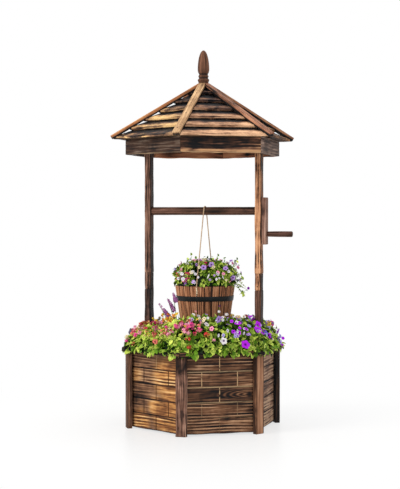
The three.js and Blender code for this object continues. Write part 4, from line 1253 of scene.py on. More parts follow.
# Three plies wound round a path that lies in the plane of the rope: each is a tube on a helix
def twistedRope(draw, path, turn=0.0):
    path, sides, radius = np.asarray(path, float), rope["sides"], rope["radius"]
    length = runOf(path)[-1]
    count = max(int(length / rope["step"]), 4)
    places = np.linspace(0, length, count)
    centre = alongPath(path, places)
    above = np.cross(unit(np.gradient(centre, axis=0)), east)
    plyRadius = radius * rope["plyShare"]
    around = np.arange(sides + 1) / sides * tau
    ring = np.cos(around[:-1])[None, :, None] * east + np.sin(around[:-1])[None, :, None] * above[:, None]
    parts = []
    for ply in range(3):
        phase = (turn + ply * tau / 3 + places * tau / rope["lay"])[:, None]
        core = centre + (radius - plyRadius) * (np.cos(phase) * east + np.sin(phase) * above)
        flat = np.zeros((count * sides, 3))
        flat[:, 0] = ply / 2
        u = places + draw.uniform(0, 9)
        parts.append(tubePart(core[:, None] + plyRadius * ring, u, around * plyRadius, flat, flat.copy()))
    return parts


# Loose fibres: thin three-sided spikes that leave the rope at a slant
def looseFibres(draw, path, count, length, spread=0.5, droop=0.0, pale=0.0):
    path = np.asarray(path, float)
    start = alongPath(path, draw.uniform(0, runOf(path)[-1], count))
    way = unit(path[-1] - path[0])
    aim = way * draw.choice([-1, 1], count)[:, None] + spread * draw.normal(size=(count, 3))
    aim = unit(aim - droop * up)
    side = unit(np.cross(aim, [0.3, 0.5, 0.8]))
    over = np.cross(aim, side)
    reach = draw.uniform(0.4, 1.0, count)[:, None] * length
    turns = (0, tau / 3, 2 * tau / 3)
    ring = [start + rope["fibre"] * (math.cos(turn) * side + math.sin(turn) * over) for turn in turns]
    loops = np.arange(count)[:, None] * 4 + np.array([[0, 2, 1, 0, 1, 3, 1, 2, 3, 2, 0, 3]])
    flat = np.full((count * 4, 3), 0.5)
    flat[:, 1] = pale
    points, uv = np.stack([*ring, start + reach * aim], 1), np.zeros((loops.size, 2))
    return partOf(points, loops, np.full(count * 4, 3), uv, flat, flat.copy())


# Jute: fine fibres along the plies in a cloudy tan, paler where the rope is worn
def ropeFinish():
    made = Finish("jute")
    fibres = made.noise(made.uv(), (350, 2600, 0), 3, 0.6)
    cloud = made.noise(made.place(), (60, 60, 22), 3, 0.6)
    tan = made.ramp(
        made.sum(0.0, (cloud, 0.5), (fibres, 0.6)), (0.25, 0.5, 0.75),
        ((0.15, 0.085, 0.045), (0.44, 0.29, 0.17), (0.72, 0.55, 0.36)),
    )
    colour = made.mix(made.attribute("grain")[1], tan, (0.95, 0.80, 0.58))
    return made.surface(colour, made.mapped(fibres, 0.3, 0.7, 0.8, 0.95), (fibres, 0.6, 0.0004), sheen=0.2)


jute = ropeFinish()


def ropePiece(name, parts, body, node):
    return makePiece(name, parts, jute, body, [node], sharp=180)


# The path of a tail from the strand's end down the outside, through its hole and in to the knot
def tailPath(side):
    face, hole, bend = rope["faceReach"], rope["holeHeight"], rope["bend"]
    reach, height = rope["strandEnd"]
    path = [(reach, height - hair), (face, hole + bend)]
    for turn in np.linspace(0, tau / 4, 8)[1:]:
        path.append((face - bend + bend * math.cos(turn), hole + bend - bend * math.sin(turn)))
    return [[ropeX, side * reach, height] for reach, height in (*path, (rope["knotReach"], hole))]


# An arc over the roller, straight strands, and tails that go in to knots, which are short helices
def makeRope():
    draw = np.random.default_rng(160)
    radius, lean, (pale, wearLength) = rope["turnRadius"], math.radians(rope["lean"]), rope["worn"]
    hole, face, top = rope["holeHeight"], rope["faceReach"], rope["strandTop"]
    endReach, endHeight = rope["strandEnd"]
    angles = np.linspace(lean + 0.02, tau / 2 - lean - 0.02, 40)
    over = [[ropeX, radius * math.cos(a), hub[2] + radius * math.sin(a)] for a in angles]
    parts = twistedRope(draw, over) + [looseFibres(draw, over, *rope["turnFuzz"])]
    ropePiece("rope_turn", parts, "rope_hanger", "rope_loop")
    for side, name in ((-1, "front"), (1, "rear")):
        strand = [[ropeX, side * top[0], top[1]], [ropeX, side * endReach, endHeight]]
        parts = twistedRope(draw, strand, draw.uniform(0, 6))
        parts.append(looseFibres(draw, strand, *rope["strandFuzz"]))
        piece = ropePiece("rope_strand_" + name, parts, "rope_strands", "rope_" + name)
        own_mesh(piece)
        tip = [[ropeX, side * (face + 0.003), hole + 0.016], [ropeX, side * (face + 0.002), hole]]
        path = tailPath(side)
        parts = twistedRope(draw, path, draw.uniform(0, 6))
        parts.append(looseFibres(draw, path, *rope["tailFuzz"]))
        parts.append(looseFibres(draw, tip, **rope["tassel"]))
        for part in parts:
            worn = pale * np.clip((endHeight - part["points"][:, 2]) / wearLength, 0, 1)
            part["grain"][:, 1] = np.maximum(part["grain"][:, 1], worn)
        turns = np.linspace(0, tau * 1.5, 40)
        reach, wide = rope["knotReach"] - rope["knotPitch"] * turns / tau, rope["knotRadius"]
        knot = np.stack([ropeX + wide * np.cos(turns), side * reach, hole + wide * np.sin(turns)], -1)
        ropePiece("rope_tail_" + name, parts + twistedRope(draw, knot), "bucket", "rope_end_" + name)


makeRope()
print("rope made")

# Planting


# Many copies of one small shape: each point is its place plus the shape's x, y and z along three directions
def manyOf(shape, places, along, facing, sizes, tint, kinds=None):
    count, points = len(places), shape["points"]
    along = unit(np.broadcast_to(along, places.shape))
    facing = unit(facing - (facing * along).sum(-1, keepdims=True) * along)
    side = np.cross(facing, along)
    local = points[None] * np.broadcast_to(np.reshape(sizes, (count, -1)), (count, 3))[:, None]
    placed = places[:, None] + local[..., :1] * along[:, None] + local[..., 1:2] * side[:, None]
    placed = placed + local[..., 2:] * facing[:, None]
    loops = shape["loops"][None] + len(points) * np.arange(count)[:, None]
    grain = np.repeat(np.broadcast_to(tint, (count, 3)), len(points), axis=0)
    lie = np.tile(shape["lie"], (count, 1))
    if kinds is not None:
        lie[:, 2] = np.repeat(kinds, len(points))
    return partOf(placed, loops, np.tile(shape["sizes"], count), np.tile(shape["uv"], (count, 1)), grain, lie)


# A shape worked out on a grid. Its lie is the grid's own parameters. A lid closes it at its first row.
def gridShape(points, lie, u, v, wrap, lid=False):
    rows, columns = points[0].shape
    loops, sizes, uv = gridFaces(rows, columns, u, v, wrap)
    if lid:
        loops, sizes = np.append(loops, np.arange(columns)), np.append(sizes, columns)
        uv = np.concatenate([uv, np.zeros((columns, 2))])
    points, lie = [np.stack(values, -1).reshape(-1, 3) for values in (points, lie)]
    return dict(points=points, loops=loops, sizes=sizes, uv=uv, lie=lie)


# A leaf one long: pointed oval, folded along its midrib, tip curling down
def leafShape(width, fold, curl, power=0.75, blunt=0.8):
    t, s = np.meshgrid(np.linspace(0, 1, 6), np.linspace(-1, 1, 3), indexing="ij")
    half = width * np.sin(math.pi * t**power) ** blunt + 0.004
    points = (t - 0.1 * t**2 * curl, s * half, fold * np.abs(s) * half - curl * t**2)
    return gridShape(points, (t, 0.5 + 0.5 * s, 0 * t), t[:, 0], 0.5 + 0.5 * s[0], False)


# A round blossom one in radius, facing +z: rings round a throat, with lobes round its edge
def blossomShape(rings, around, lobes, notch, heights, ruffle=0.0):
    r, turn = np.meshgrid(rings, np.arange(around) / around, indexing="ij")
    angle = turn * tau
    reach = r * (1 - notch * (1 - np.abs(np.cos(lobes * angle / 2)) ** 0.7) * r)
    z = np.array(heights)[:, None] + ruffle * r**3 * np.sin(2 * lobes * angle)
    points = (reach * np.cos(angle), reach * np.sin(angle), z)
    return gridShape(points, (r, turn, 0 * r), r[:, 0], np.arange(around + 1) / around, True, lid=True)


# A stem one long along x: five-sided, thinner at its end
def stemShape():
    t, turn = np.meshgrid(np.linspace(0, 1, 5), np.arange(5) / 5, indexing="ij")
    wide, angle = 1 - 0.45 * t, turn * tau
    points = (t, wide * np.cos(angle), wide * np.sin(angle))
    return gridShape(points, (t, turn, 0 * t), t[:, 0], np.arange(6) / 5, True)


broadLeaf = leafShape(0.36, 0.4, 0.32, 0.72, 0.55)
slimLeaf = leafShape(0.17, 0.5, 0.45, 0.9)
stalk = stemShape()
blossoms = dict(
    petunia=blossomShape([0.08, 0.22, 0.5, 0.8, 1.0], 20, 5, 0.22, [-0.35, -0.12, 0.02, 0.04, -0.02], 0.05),
    floret=blossomShape([0.16, 0.6, 1.0], 10, 5, 0.5, [-0.06, 0.04, 0.0]),
    star=blossomShape([0.2, 0.6, 1.0], 28, 14, 0.55, [0.1, 0.12, 0.0]),
)
tints = dict(
    magenta=(0.66, 0.03, 0.32), hotPink=(0.90, 0.07, 0.34), crimson=(0.56, 0.015, 0.07),
    salmon=(0.80, 0.20, 0.15), violet=(0.50, 0.014, 0.80), lilac=(0.46, 0.28, 0.70),
    lavender=(0.44, 0.38, 0.78), white=(0.80, 0.77, 0.82), cream=(0.80, 0.70, 0.42),
    yellow=(0.85, 0.58, 0.04), orange=(0.85, 0.22, 0.02), plum=(0.16, 0.012, 0.16),
    brown=(0.15, 0.065, 0.028), pink=(0.85, 0.30, 0.46), purple=(0.20, 0.02, 0.40),
    blue=(0.13, 0.10, 0.58), red=(0.62, 0.02, 0.02), peach=(0.85, 0.50, 0.24),
    orchid=(0.60, 0.27, 0.50),
)


# Flowers from rows of words and numbers, with commas between them
def flowerRows(text):
    rows = [row.split() for row in text.split(",")]
    return tuple((kind, colour, *map(float, numbers)) for kind, colour, *numbers in rows)


# Kind, colour, place in the picture in pixels, radius in millimetres
bedFlowers = flowerRows("""
    cluster pink 135.3 328 10, cluster hotPink 142 328 11, cluster crimson 146.2 330 10,
    cluster magenta 157 331 11, cluster crimson 154.8 334 10, cluster hotPink 166.3 329 10,
    cluster hotPink 176 328 13, cluster hotPink 191 327 14, cluster pink 184 331 10,
    cluster hotPink 136.4 336.7 10, cluster salmon 133 333 9, cluster hotPink 127.4 340 11,
    cluster crimson 134 344.7 9, petunia salmon 156 343.6 11, cluster crimson 195 335 9,
    cluster red 188 340 10, cluster red 189.2 348.7 10, star yellow 167 320 9, star yellow 173 317 10,
    star yellow 178 314.5 8, star orange 147 323 8, star orange 169 322.5 8, cluster yellow 171 318.5 9,
    cluster yellow 176 315.5 9, cluster orange 163.5 321.5 6, cluster brown 159.4 318.3 7,
    petunia lilac 191.3 321.9 11, petunia lilac 208 317.4 12, petunia lilac 217.3 320.4 12,
    star white 219.2 312.5 6, cluster plum 219.2 306.5 6, star white 226.5 315.2 8, star cream 224 318.5 6,
    star cream 236.8 317.8 9, petunia peach 238.4 317.8 8, petunia violet 237.6 324.6 12,
    petunia violet 254.4 321.8 13, petunia violet 257.4 326.2 14, petunia violet 257.4 331.2 16,
    petunia violet 244.9 345.3 15, petunia lilac 228.3 326.2 7, petunia violet 246 330.5 8,
    petunia lilac 235.5 332.3 6, petunia white 224 342.2 12, cluster red 207 335.8 12,
    petunia pink 212.4 330.4 8, cluster pink 213.5 341.2 7, petunia blue 265.4 334.8 10,
    cluster purple 267.7 327.5 9, cluster plum 281.5 346.5 6, petunia lavender 279.8 336.5 8,
    petunia lavender 279.8 342.5 8, petunia violet 251.5 317.5 8, petunia white 254 317 6,
    petunia white 219 337 6, petunia lavender 223.5 336 6, cluster pink 195.5 312 5
""")
pailFlowers = flowerRows("""
    cluster crimson 183.6 265.6 10, petunia white 187.4 265.3 6, petunia white 181.4 269.4 6,
    cluster crimson 177.6 275.2 9, petunia cream 182.6 273.9 6, cluster plum 181 278.3 8,
    cluster pink 183.3 282.2 6, cluster purple 185.5 284.9 6, petunia pink 194.4 261.5 8,
    petunia lilac 196.4 266.2 6, petunia white 193.8 272.6 6, cluster crimson 205.9 264.4 9,
    petunia lilac 203.9 268.8 10, petunia lilac 212 266.4 10, petunia white 208.8 277.1 9,
    petunia lilac 225.7 269.8 9, petunia lilac 232.7 278 9, petunia violet 240.2 274.2 8,
    petunia cream 230.8 268.1 5, cluster brown 226.3 263.7 5, cluster brown 238.6 265.6 4,
    cluster brown 217.7 254.7 4, cluster brown 236.8 259.2 3, petunia violet 248 289.2 5,
    petunia white 228.5 272.5 5, petunia cream 235.5 270.5 4, petunia white 191 263 5
""")
# Sprigs and flower spikes as points of the picture
pailSprigs = (
    (230, 284, 239, 288.5, 243.5, 292.4, 244.8, 295.5), (229, 277, 238, 280, 244, 286),
    (228, 270, 236, 271, 243, 277), (217, 266, 217.7, 256), (231, 269, 234, 264, 236.8, 260),
    (187, 268, 186.8, 258), (191, 266, 191.3, 255.4), (196, 266, 195.7, 257.3), (204, 266, 203.7, 257.3),
    (207, 266, 206.6, 258), (224, 266, 224, 259), (228, 281, 236, 284, 241, 291), (212, 264, 212, 257),
    (226, 275, 234, 274, 242, 279), (230, 282, 238, 285, 246, 289),
)
lavenderSpikes = ((158.8, 303.4, 169.1, 316.6), (167.4, 298.2, 174.3, 310.8), (173.1, 293.0, 176.0, 301.6))

# Drifts: kind, colours, how many, left, right, low and high at the left end, rise to the right, and radii
bedDrifts = (
    ("cluster", "hotPink hotPink crimson pink salmon pink", 46, 132, 202, 338, 325, 0.05, 6, 10),
    ("cluster", "cream peach peach yellow", 56, 134, 204, 338, 323, 0.05, 4, 7),
    ("petunia", "violet lilac lilac lavender", 14, 226, 272, 336, 320, -0.02, 5, 8),
    ("petunia", "violet purple lavender lilac", 16, 262, 283, 336, 326, -0.5, 5, 8),
    ("petunia", "lilac white white cream", 26, 190, 246, 326, 315, 0.0, 4, 7),
    ("petunia", "lilac lavender white", 16, 226, 276, 338, 320, 0.0, 4, 7),
    ("star", "orange yellow yellow", 9, 146, 180, 324, 317, 0.12, 5, 8),
)
pailDrifts = (
    ("cluster", "crimson magenta pink plum", 10, 176, 190, 282, 266, 0.05, 5, 8),
    ("petunia", "lilac white white cream pink", 46, 178, 242, 283, 260, 0.0, 4, 7),
    ("cluster", "crimson pink", 5, 198, 212, 268, 262, 0.0, 5, 7),
)


# Blossoms at random in a strip of the picture that slants by its rise
def drifted(draw, drifts):
    flowers = []
    for kind, colours, count, left, right, low, high, rise, small, large in drifts:
        across = draw.uniform(left, right, count)
        down = draw.uniform(high, low, count) - rise * (across - left)
        sizes = draw.uniform(small, large, count)
        flowers += list(zip([kind] * count, draw.choice(colours.split(), count), across, down, sizes))
    return tuple(flowers)


# The way a point of the picture is seen
def rayThrough(px, py):
    width, height = viewLook["width"], viewLook["height"]
    focal = viewLook["lens"] / viewLook["sensor"] * height
    across, above = (np.asarray(px) - width / 2) / focal, (height / 2 - np.asarray(py)) / focal
    return ahead + across[..., None] * rightward + above[..., None] * upward


# First place where each ray goes under the mound's front half, or where it passes nearest above it
def meetMound(px, py, mound, centre):
    steps = np.linspace(*planting["search"], 700)
    points = eye + steps[None, :, None] * rayThrough(px, py)[:, None]
    gap = points[..., 2] - mound(points[..., :2] - centre[:2])
    under = gap <= 0
    first = np.where(under.any(1), under.argmax(1), gap.argmin(1))
    return np.take_along_axis(points, first[:, None, None], 1)[:, 0], under.any(1)


faceWays = np.array([radial(face * sixth)[:2] for face in range(6)])


# Distance from the axis on a hexagon with softened corners
def softHexagon(flat):
    return 0.56 * (flat @ faceWays.T).max(-1) + 0.44 * np.linalg.norm(flat, axis=-1)


planting = dict(
    search=(4.3, 4.94),  # where along a ray the mounds are looked for
    sprigs=4.88,  # how far away sprigs and spikes are
    spikes=4.78,
    radius=0.00115,  # of a blossom, for each millimetre that its row gives
    # partly painted shade: the near-black green of the darkest leaves
    deep=(0.003, 0.014, 0.002),
    fresh=(0.15, 0.31, 0.022),
    lime=(0.68, 0.78, 0.19),
    # painted shade: the ground under the leaves, near black as the shade between them
    ground=(0.003, 0.011, 0.002),
    stem=(0.12, 0.26, 0.04),
    sprig=(0.16, 0.26, 0.05),
    spike=(0.10, 0.20, 0.05),
)
bedShape = dict(
    reach=(0, 0.10, 0.125, 0.165, 0.19, 0.215, 0.24, 0.256, 0.264, 0.30),
    height=(0.328, 0.330, 0.338, 0.366, 0.376, 0.372, 0.352, 0.330, 0.300, 0.10),
    edge=0.256,
    edgeDrop=0.01,
    ridgeAngle=math.radians(-72),
    ridgeReach=0.205,
    ridgeWidth=0.028,
    ridgeSpan=0.55,
    ridgeRise=0.036,
    leftDrop=0.014,
    leaves=5000,
    leafSizes=((0.016, 0.032), (0.020, 0.040)),  # of broad and of slim leaves
    leafReach=0.262,
    calmReach=0.13,  # leaves are small out to here, under the bucket
    groundDrop=0.012,
    drooping=900,
    moreDrooping=(30, (-0.68, -0.42)),  # how many, and between which angles
    hem=((0.248, 0.273), (0.330, 0.290), (0.014, 0.027)),  # reach, height and size of the hanging leaves
    blossomOut=0.014,
    stemThickness=0.0011,
    stemShare=0.93,  # of a blossom's way out, where its stem starts
    # blossoms where the picture doesn't reach
    others=120,
    otherReach=0.258,
    otherInner=0.17,
    otherSizes=(0.008, 0.016),
    otherOut=0.014,
)
pailShape = dict(
    reach=(0, 0.05, 0.08, 0.10, 0.113, 0.122, 0.15),
    height=(0.598, 0.596, 0.588, 0.574, 0.550, 0.520, 0.38),
    edge=0.104,
    edgeDrop=0.045,
    leaves=2000,
    leafSizes=((0.012, 0.024), (0.014, 0.030)),
    leafReach=0.111,
    groundDrop=0.010,
    drooping=750,
    blossomOut=0.010,
    stemThickness=0.0007,
    stemShare=0.8,
    others=36,
    otherReach=0.112,
    otherInner=0.0,
    otherSizes=(0.006, 0.010),
    otherOut=0.009,
    ropeRoom=0.008,  # to each side of a strand, when the bucket is wound up
    ropeStart=0.012,  # from the bucket's axis
    ropeFall=1.66,
)


# The bed's plants stand higher in front of the bucket, on a soft ridge, and lower to the left
def bedMound(flat):
    flat, shape = np.asarray(flat), bedShape
    away = np.angle(np.exp(1j * (np.arctan2(flat[..., 1], flat[..., 0]) - shape["ridgeAngle"])))
    off = (np.linalg.norm(flat, axis=-1) - shape["ridgeReach"]) / shape["ridgeWidth"]
    ridge = shape["ridgeRise"] * np.exp(-0.5 * (away / shape["ridgeSpan"]) ** 2 - 0.5 * off**2)
    lower = shape["leftDrop"] * np.clip((0.02 - flat[..., 0]) / 0.14, 0, 1)
    return np.interp(softHexagon(flat), shape["reach"], shape["height"]) + ridge - lower


# The bucket's plants stand in a round mound, its height read off a profile
def pailMound(flat):
    return np.interp(np.linalg.norm(flat, axis=-1), pailShape["reach"], pailShape["height"])


# Outward direction of a mound from its slopes in x and y
def moundNormal(mound, flat, step=0.004):
    slopes = [(mound(flat + way) - mound(flat - way)) / (2 * step) for way in step * np.eye(2)]
    return unit(np.stack([-slopes[0], -slopes[1], np.ones(len(flat))], -1))


# Outward directions at angles, by cosine and sine
def waysOf(angle):
    return np.stack([np.cos(angle), np.sin(angle), np.zeros(len(angle))], -1)


# Places spread evenly over a mound: the root of an even share as the distance, and any angle
def spreadOver(draw, count, reach, mound, centre, inner=0.0):
    ways = waysOf(draw.uniform(0, tau, count))
    share = np.sqrt(draw.uniform((inner / reach) ** 2, 1, count))
    stretch = 1 / softHexagon(ways[:, :2]) if mound is bedMound else np.ones(count)
    flat = ways[:, :2] * (reach * share * stretch)[:, None]
    return np.column_stack([flat + centre[:2], mound(flat)]), moundNormal(mound, flat), ways


# Leaf colours from a near-black green, partly painted shade, to lime, in soft clumps, with most lime among
# the pink flowers
def greens(draw, places):
    x, y, z = (places - axis).T[:, :, None]
    clumps = np.sin(x * 47 + 1) * np.sin(y * 53 + 2) + 0.6 * np.sin(x * 101 + y * 83)
    pinkSide = np.clip(-x / 0.06, 0, 1) * np.clip((z - 0.316) / 0.02, 0, 1) * (z < 0.45)
    mix = draw.beta(0.8, 0.8, (len(places), 1)) + 0.2 * clumps + 0.8 * pinkSide - 0.08 * (x < -0.05)
    mix = np.clip(mix + 0.08 * (x > 0.05), 0, 1)
    deep, fresh, lime = [np.array(planting[key]) for key in ("deep", "fresh", "lime")]
    low = deep + (fresh - deep) * np.clip(mix * 2, 0, 1)
    return low + (lime - low) * np.clip(mix * 2 - 1, 0, 1)


# Leaves over a mound, pointing outwards with scatter, their middles at the places drawn
def leafCover(draw, shape, mound, centre, size):
    count = shape["leaves"] // 2
    places, normals, ways = spreadOver(draw, count, shape["leafReach"], mound, centre)
    along = unit(ways * 0.7 + draw.normal(size=(count, 3)) * 0.7 + up * 0.25)
    facing = unit(normals + 0.4 * draw.normal(size=(count, 3)) + 0.5 * up)
    lengths = draw.uniform(*size, count)
    places = places - 0.4 * lengths[:, None] * along + draw.uniform(-0.006, 0.006, count)[:, None] * normals
    return places, along, facing, lengths, greens(draw, places)


# Leafy ground under the loose leaves, near black as painted shade between them: the mound turned about its
# axis with bumps on it
def leafyGround(draw, shape, mound, centre, bottom):
    rings = np.linspace(0, shape["edge"], 22)
    profile = list(zip(rings, np.interp(rings, shape["reach"], shape["height"])))
    profile += [(rings[-1] - 0.006, bottom + 0.002), (rings[-1] - 0.008, bottom), (0, bottom)]
    ground = turnedPart(draw, profile, 120, centre, plainAxes)
    away = ground["points"] - centre
    ways = waysOf(np.arctan2(away[:, 1], away[:, 0]))[:, :2]
    stretch = 1 / softHexagon(ways) if mound is bedMound else np.ones(len(away))
    away[:, :2] *= stretch[:, None]
    x, y, z = away.T
    waves = sum(
        np.sin(x * draw.uniform(90, 320) + y * draw.uniform(-320, 320) + draw.uniform(0, tau))
        for _ in range(5)
    )
    edge = np.linalg.norm(away[:, :2], axis=1) / stretch / shape["edge"]
    lie = mound(away[:, :2]) - shape["groundDrop"] - shape["edgeDrop"] * edge**6 + 0.0022 * waves
    away[:, 2] = np.where(z > bottom + 0.012, lie, z)
    ground["points"] = centre + away
    # Painted shade: the ground takes the near-black colour
    ground["grain"][:] = planting["ground"]
    return ground


# Flowers of the lists at their places, a little way out of the leaves unless they already stand clear of them
def listedFlowers(flowers, mound, centre, out):
    kinds, colours, px, py, radii = zip(*flowers)
    places, under = meetMound(np.array(px), np.array(py), mound, centre)
    toEye = unit(eye + up - places)
    aims = moundNormal(mound, (places - centre)[:, :2]) + 1.3 * toEye
    return places + out * under[:, None] * toEye, kinds, colours, np.array(radii) * planting["radius"], aims


bloom = dict(
    floretRate=1300,  # florets in a cluster, for each metre of its radius
    florets=(9, 22),
    floretSize=(0.34, 0.48),  # share of the cluster's radius
    dome=0.72,
    middles=[0.7, 0.3],  # share of dark middles and of golden ones
    starLift=(0.004, 0.007),  # of a star's outer and inner petals
    lift=0.006,
)


# Blossoms at their places: petunias and stars singly, clusters as florets over a small dome
def bloomParts(draw, places, kinds, colours, radii, aims):
    groups = {}
    for place, kind, colour, radius, aim in zip(places, kinds, colours, radii, unit(aims)):
        tint, facing = np.array(tints[colour]), unit(aim + 0.3 * draw.normal(size=3))
        aside = draw.normal(size=3)
        rows = groups.setdefault("floret" if kind == "cluster" else kind, [])
        if kind == "cluster":
            count = int(np.clip(radius * bloom["floretRate"], *bloom["florets"]))
            for way in unit(draw.normal(size=(count, 3)) + 1.1 * facing):
                shade = tint * draw.uniform(0.65, 1.25) + draw.uniform(0, 0.04)
                aside, size = draw.normal(size=3), radius * draw.uniform(*bloom["floretSize"])
                spot = place + radius * bloom["dome"] * way
                throat = draw.choice([0.0, 1.0], p=bloom["middles"])
                rows.append((spot, aside, way, size, shade, throat))
        elif kind == "star":
            outer, inner = bloom["starLift"]
            rows.append((place + outer * facing, aside, facing, radius, tint, 1.0))
            rows.append((place + inner * facing, aside + 0.3, facing, radius * 0.7, tint * 0.85, 1.0))
        else:
            throat = -1.0 if colour in ("white", "cream", "lavender", "lilac") else 0.0
            shade = tint * draw.uniform(0.85, 1.1)
            rows.append((place + bloom["lift"] * facing, aside, facing, radius, shade, throat))
    parts = []
    for name, rows in groups.items():
        place, along, facing, size, tint, throat = [np.array(column) for column in zip(*rows)]
        parts.append(manyOf(blossoms[name], place, along, facing, size, np.clip(tint, 0, 1), throat))
    return parts


# Flowers where the picture doesn't reach: the same kinds, drawn at random over the mound
def otherFlowers(draw, shape, mound, centre):
    reach, inner = shape["otherReach"], shape["otherInner"]
    places, normals, ways = spreadOver(draw, shape["others"] * 4, reach, mound, centre, inner)
    stay = np.flatnonzero((places - centre) @ ahead > -0.03)[: shape["others"]]
    names = "magenta hotPink crimson salmon violet lilac lavender white cream pink yellow".split()
    colours = draw.choice(names, len(stay))
    kinds = draw.choice(["cluster", "petunia", "petunia", "star"], len(stay))
    places, aims = places[stay] + shape["otherOut"] * normals[stay], normals[stay] + 0.8 * ways[stay]
    return places, kinds, colours, draw.uniform(*shape["otherSizes"], len(stay)), aims


# A flower spike: florets in whorls up a stem, smaller towards its tip
def spikeParts(draw, foot, tip, radius, count=46):
    share = np.sort(draw.uniform(0, 1, count))
    way = unit(tip - foot)
    aside = unit(np.cross(way, [0.3, 1.0, 0.2]))
    angle = np.arange(count) * 2.4
    outward = np.cos(angle)[:, None] * aside + np.sin(angle)[:, None] * np.cross(way, aside)
    wide = radius * (1 - 0.65 * share)[:, None]
    places = foot + share[:, None] * (tip - foot) + wide * 0.8 * outward
    plum, orchid = np.array(tints["plum"]), np.array(tints["orchid"])
    shades = plum + (orchid - plum) * (0.25 + 0.75 * share[:, None]) * draw.uniform(0.4, 1.2, (count, 1))
    along, aims, kinds = way + 0.2 * outward, unit(outward + 0.6 * way), np.zeros(count)
    return [manyOf(blossoms["floret"], places, along, aims, wide * 0.95, shades, kinds)]


# Petals: the point's own colour, darker or paler in the throat, with fine veins from the middle outwards
def petalFinish():
    made = Finish("petals")
    colour = made.node("Attribute", attribute_name="grain").outputs["Color"]
    reach, turn, kind = made.attribute("lie")
    vein = made.noise(made.node("CombineXYZ", {0: made.times(turn, 60), 1: reach}).outputs[0], 1, 2)
    shade = made.sum(0.5, (made.noise(made.place(), 220, 2), 0.5), (vein, 0.5))
    shade = made.ramp(shade, (0.5, 1.0), ((0.55, 0.5, 0.6), (1.0, 1.0, 1.0)))
    base = made.mix(1.0, colour, shade, "MULTIPLY")
    deep = made.mix(1.0, base, (0.25, 0.12, 0.35), "MULTIPLY")
    middle = made.mix(made.math("GREATER_THAN", kind, 0.5), deep, (0.75, 0.50, 0.08))
    middle = made.mix(made.math("LESS_THAN", kind, -0.5), middle, (0.10, 0.02, 0.16))
    colour = made.mix(made.mapped(reach, 0.42, 0.12), base, middle)
    return made.surface(colour, made.mapped(vein, 0.3, 0.7, 0.5, 0.68), (vein, 0.3, 0.0006), specular=0.15)


# Leaves: the point's own green, a paler midrib, slanting side veins and a painted highlight along the edge
def leafFinish():
    made = Finish("leaves")
    colour = made.node("Attribute", attribute_name="grain").outputs["Color"]
    along, across, _ = made.attribute("lie")
    beside = made.math("ABSOLUTE", made.math("SUBTRACT", across, 0.5))
    # The lighter edge is a painted highlight
    rib, edge = made.mapped(beside, 0.07, 0.02), made.mapped(beside, 0.36, 0.49)
    slant = made.math("PINGPONG", made.sum(0.0, (along, 9.0), (beside, -6.0)), 0.5)
    veins = made.times(made.mapped(slant, 0.08, 0.0), 0.5)
    cloud = made.noise(made.place(), 130)
    shade = made.ramp(cloud, (0.3, 0.7), ((0.38, 0.48, 0.28), (1.15, 1.16, 0.85)))
    base = made.mix(1.0, colour, shade, "MULTIPLY")
    pale = made.times(made.math("MAXIMUM", made.math("MAXIMUM", rib, veins), edge), 0.4)
    colour = made.mix(pale, base, made.mix(1.0, base, (2.1, 1.9, 2.0), "MULTIPLY"))
    bump = (made.math("ADD", rib, veins), 0.4, 0.0008)
    return made.surface(colour, made.mapped(cloud, 0.3, 0.7, 0.42, 0.6), bump, specular=0.12)


leaves, petals = leafFinish(), petalFinish()


# Height over which a strand passes at a reach from the bucket's axis, when the bucket is wound up
def strandHeight(reach, room):
    return pailHigh - room + (rope["strandEnd"][0] - reach) * pailShape["ropeFall"]


# Whether points are under a strand's way up
def besideRope(points, room):
    return (np.abs(points[..., 0] - ropeX) < room) & (np.abs(points[..., 1]) > pailShape["ropeStart"])


# A part of many copies of a shape, without those that the strands pass
def clearOfRope(part, shape):
    count, corners = len(shape["points"]), len(shape["loops"])
    points, grain, lie = [part[key].reshape(-1, count, 3) for key in ("points", "grain", "lie")]
    high = points[..., 2] > strandHeight(np.abs(points[..., 1]), 0.004)
    stay = ~(besideRope(points, pailShape["ropeRoom"]) & high).any(1)
    loops = shape["loops"][None] + count * np.arange(stay.sum())[:, None]
    uv = part["uv"].reshape(-1, corners, 2)[stay].reshape(-1, 2)
    return partOf(points[stay], loops, np.tile(shape["sizes"], stay.sum()), uv, grain[stay], lie[stay])


# Leaves that hang over an edge: from inside it and high to outside it and low
def hangingLeaves(draw, count, centre, reaches, heights, size, hexagon, span=(0, tau)):
    ways = waysOf(draw.uniform(*span, count))
    share = draw.uniform(0, 1, count)
    stretch = softHexagon(ways[:, :2]) if hexagon else np.ones(count)
    flat = ways[:, :2] * ((reaches[0] + (reaches[1] - reaches[0]) * share) / stretch)[:, None]
    drop = heights[0] + (heights[1] - heights[0]) * share + draw.uniform(-0.006, 0.006, count)
    places = np.column_stack([flat + centre[:2], drop])
    along = 0.8 * ways + 0.35 * draw.normal(size=(count, 3))
    along = unit(along - draw.uniform(-0.2, 1.2, count)[:, None] * up)
    facing = unit(ways + 0.7 * up + 0.3 * draw.normal(size=(count, 3)))
    return manyOf(broadLeaf, places, along, facing, draw.uniform(*size, count), greens(draw, places))


# Stems: the stem shape stretched from its foot to a place
def stemsTo(draw, places, feet, thickness, tint):
    way, thick = places - feet, np.full(len(places), thickness)
    sizes = np.stack([np.linalg.norm(way, axis=1), thick, thick], -1)
    return manyOf(stalk, feet, way, draw.normal(size=way.shape), sizes, tint)


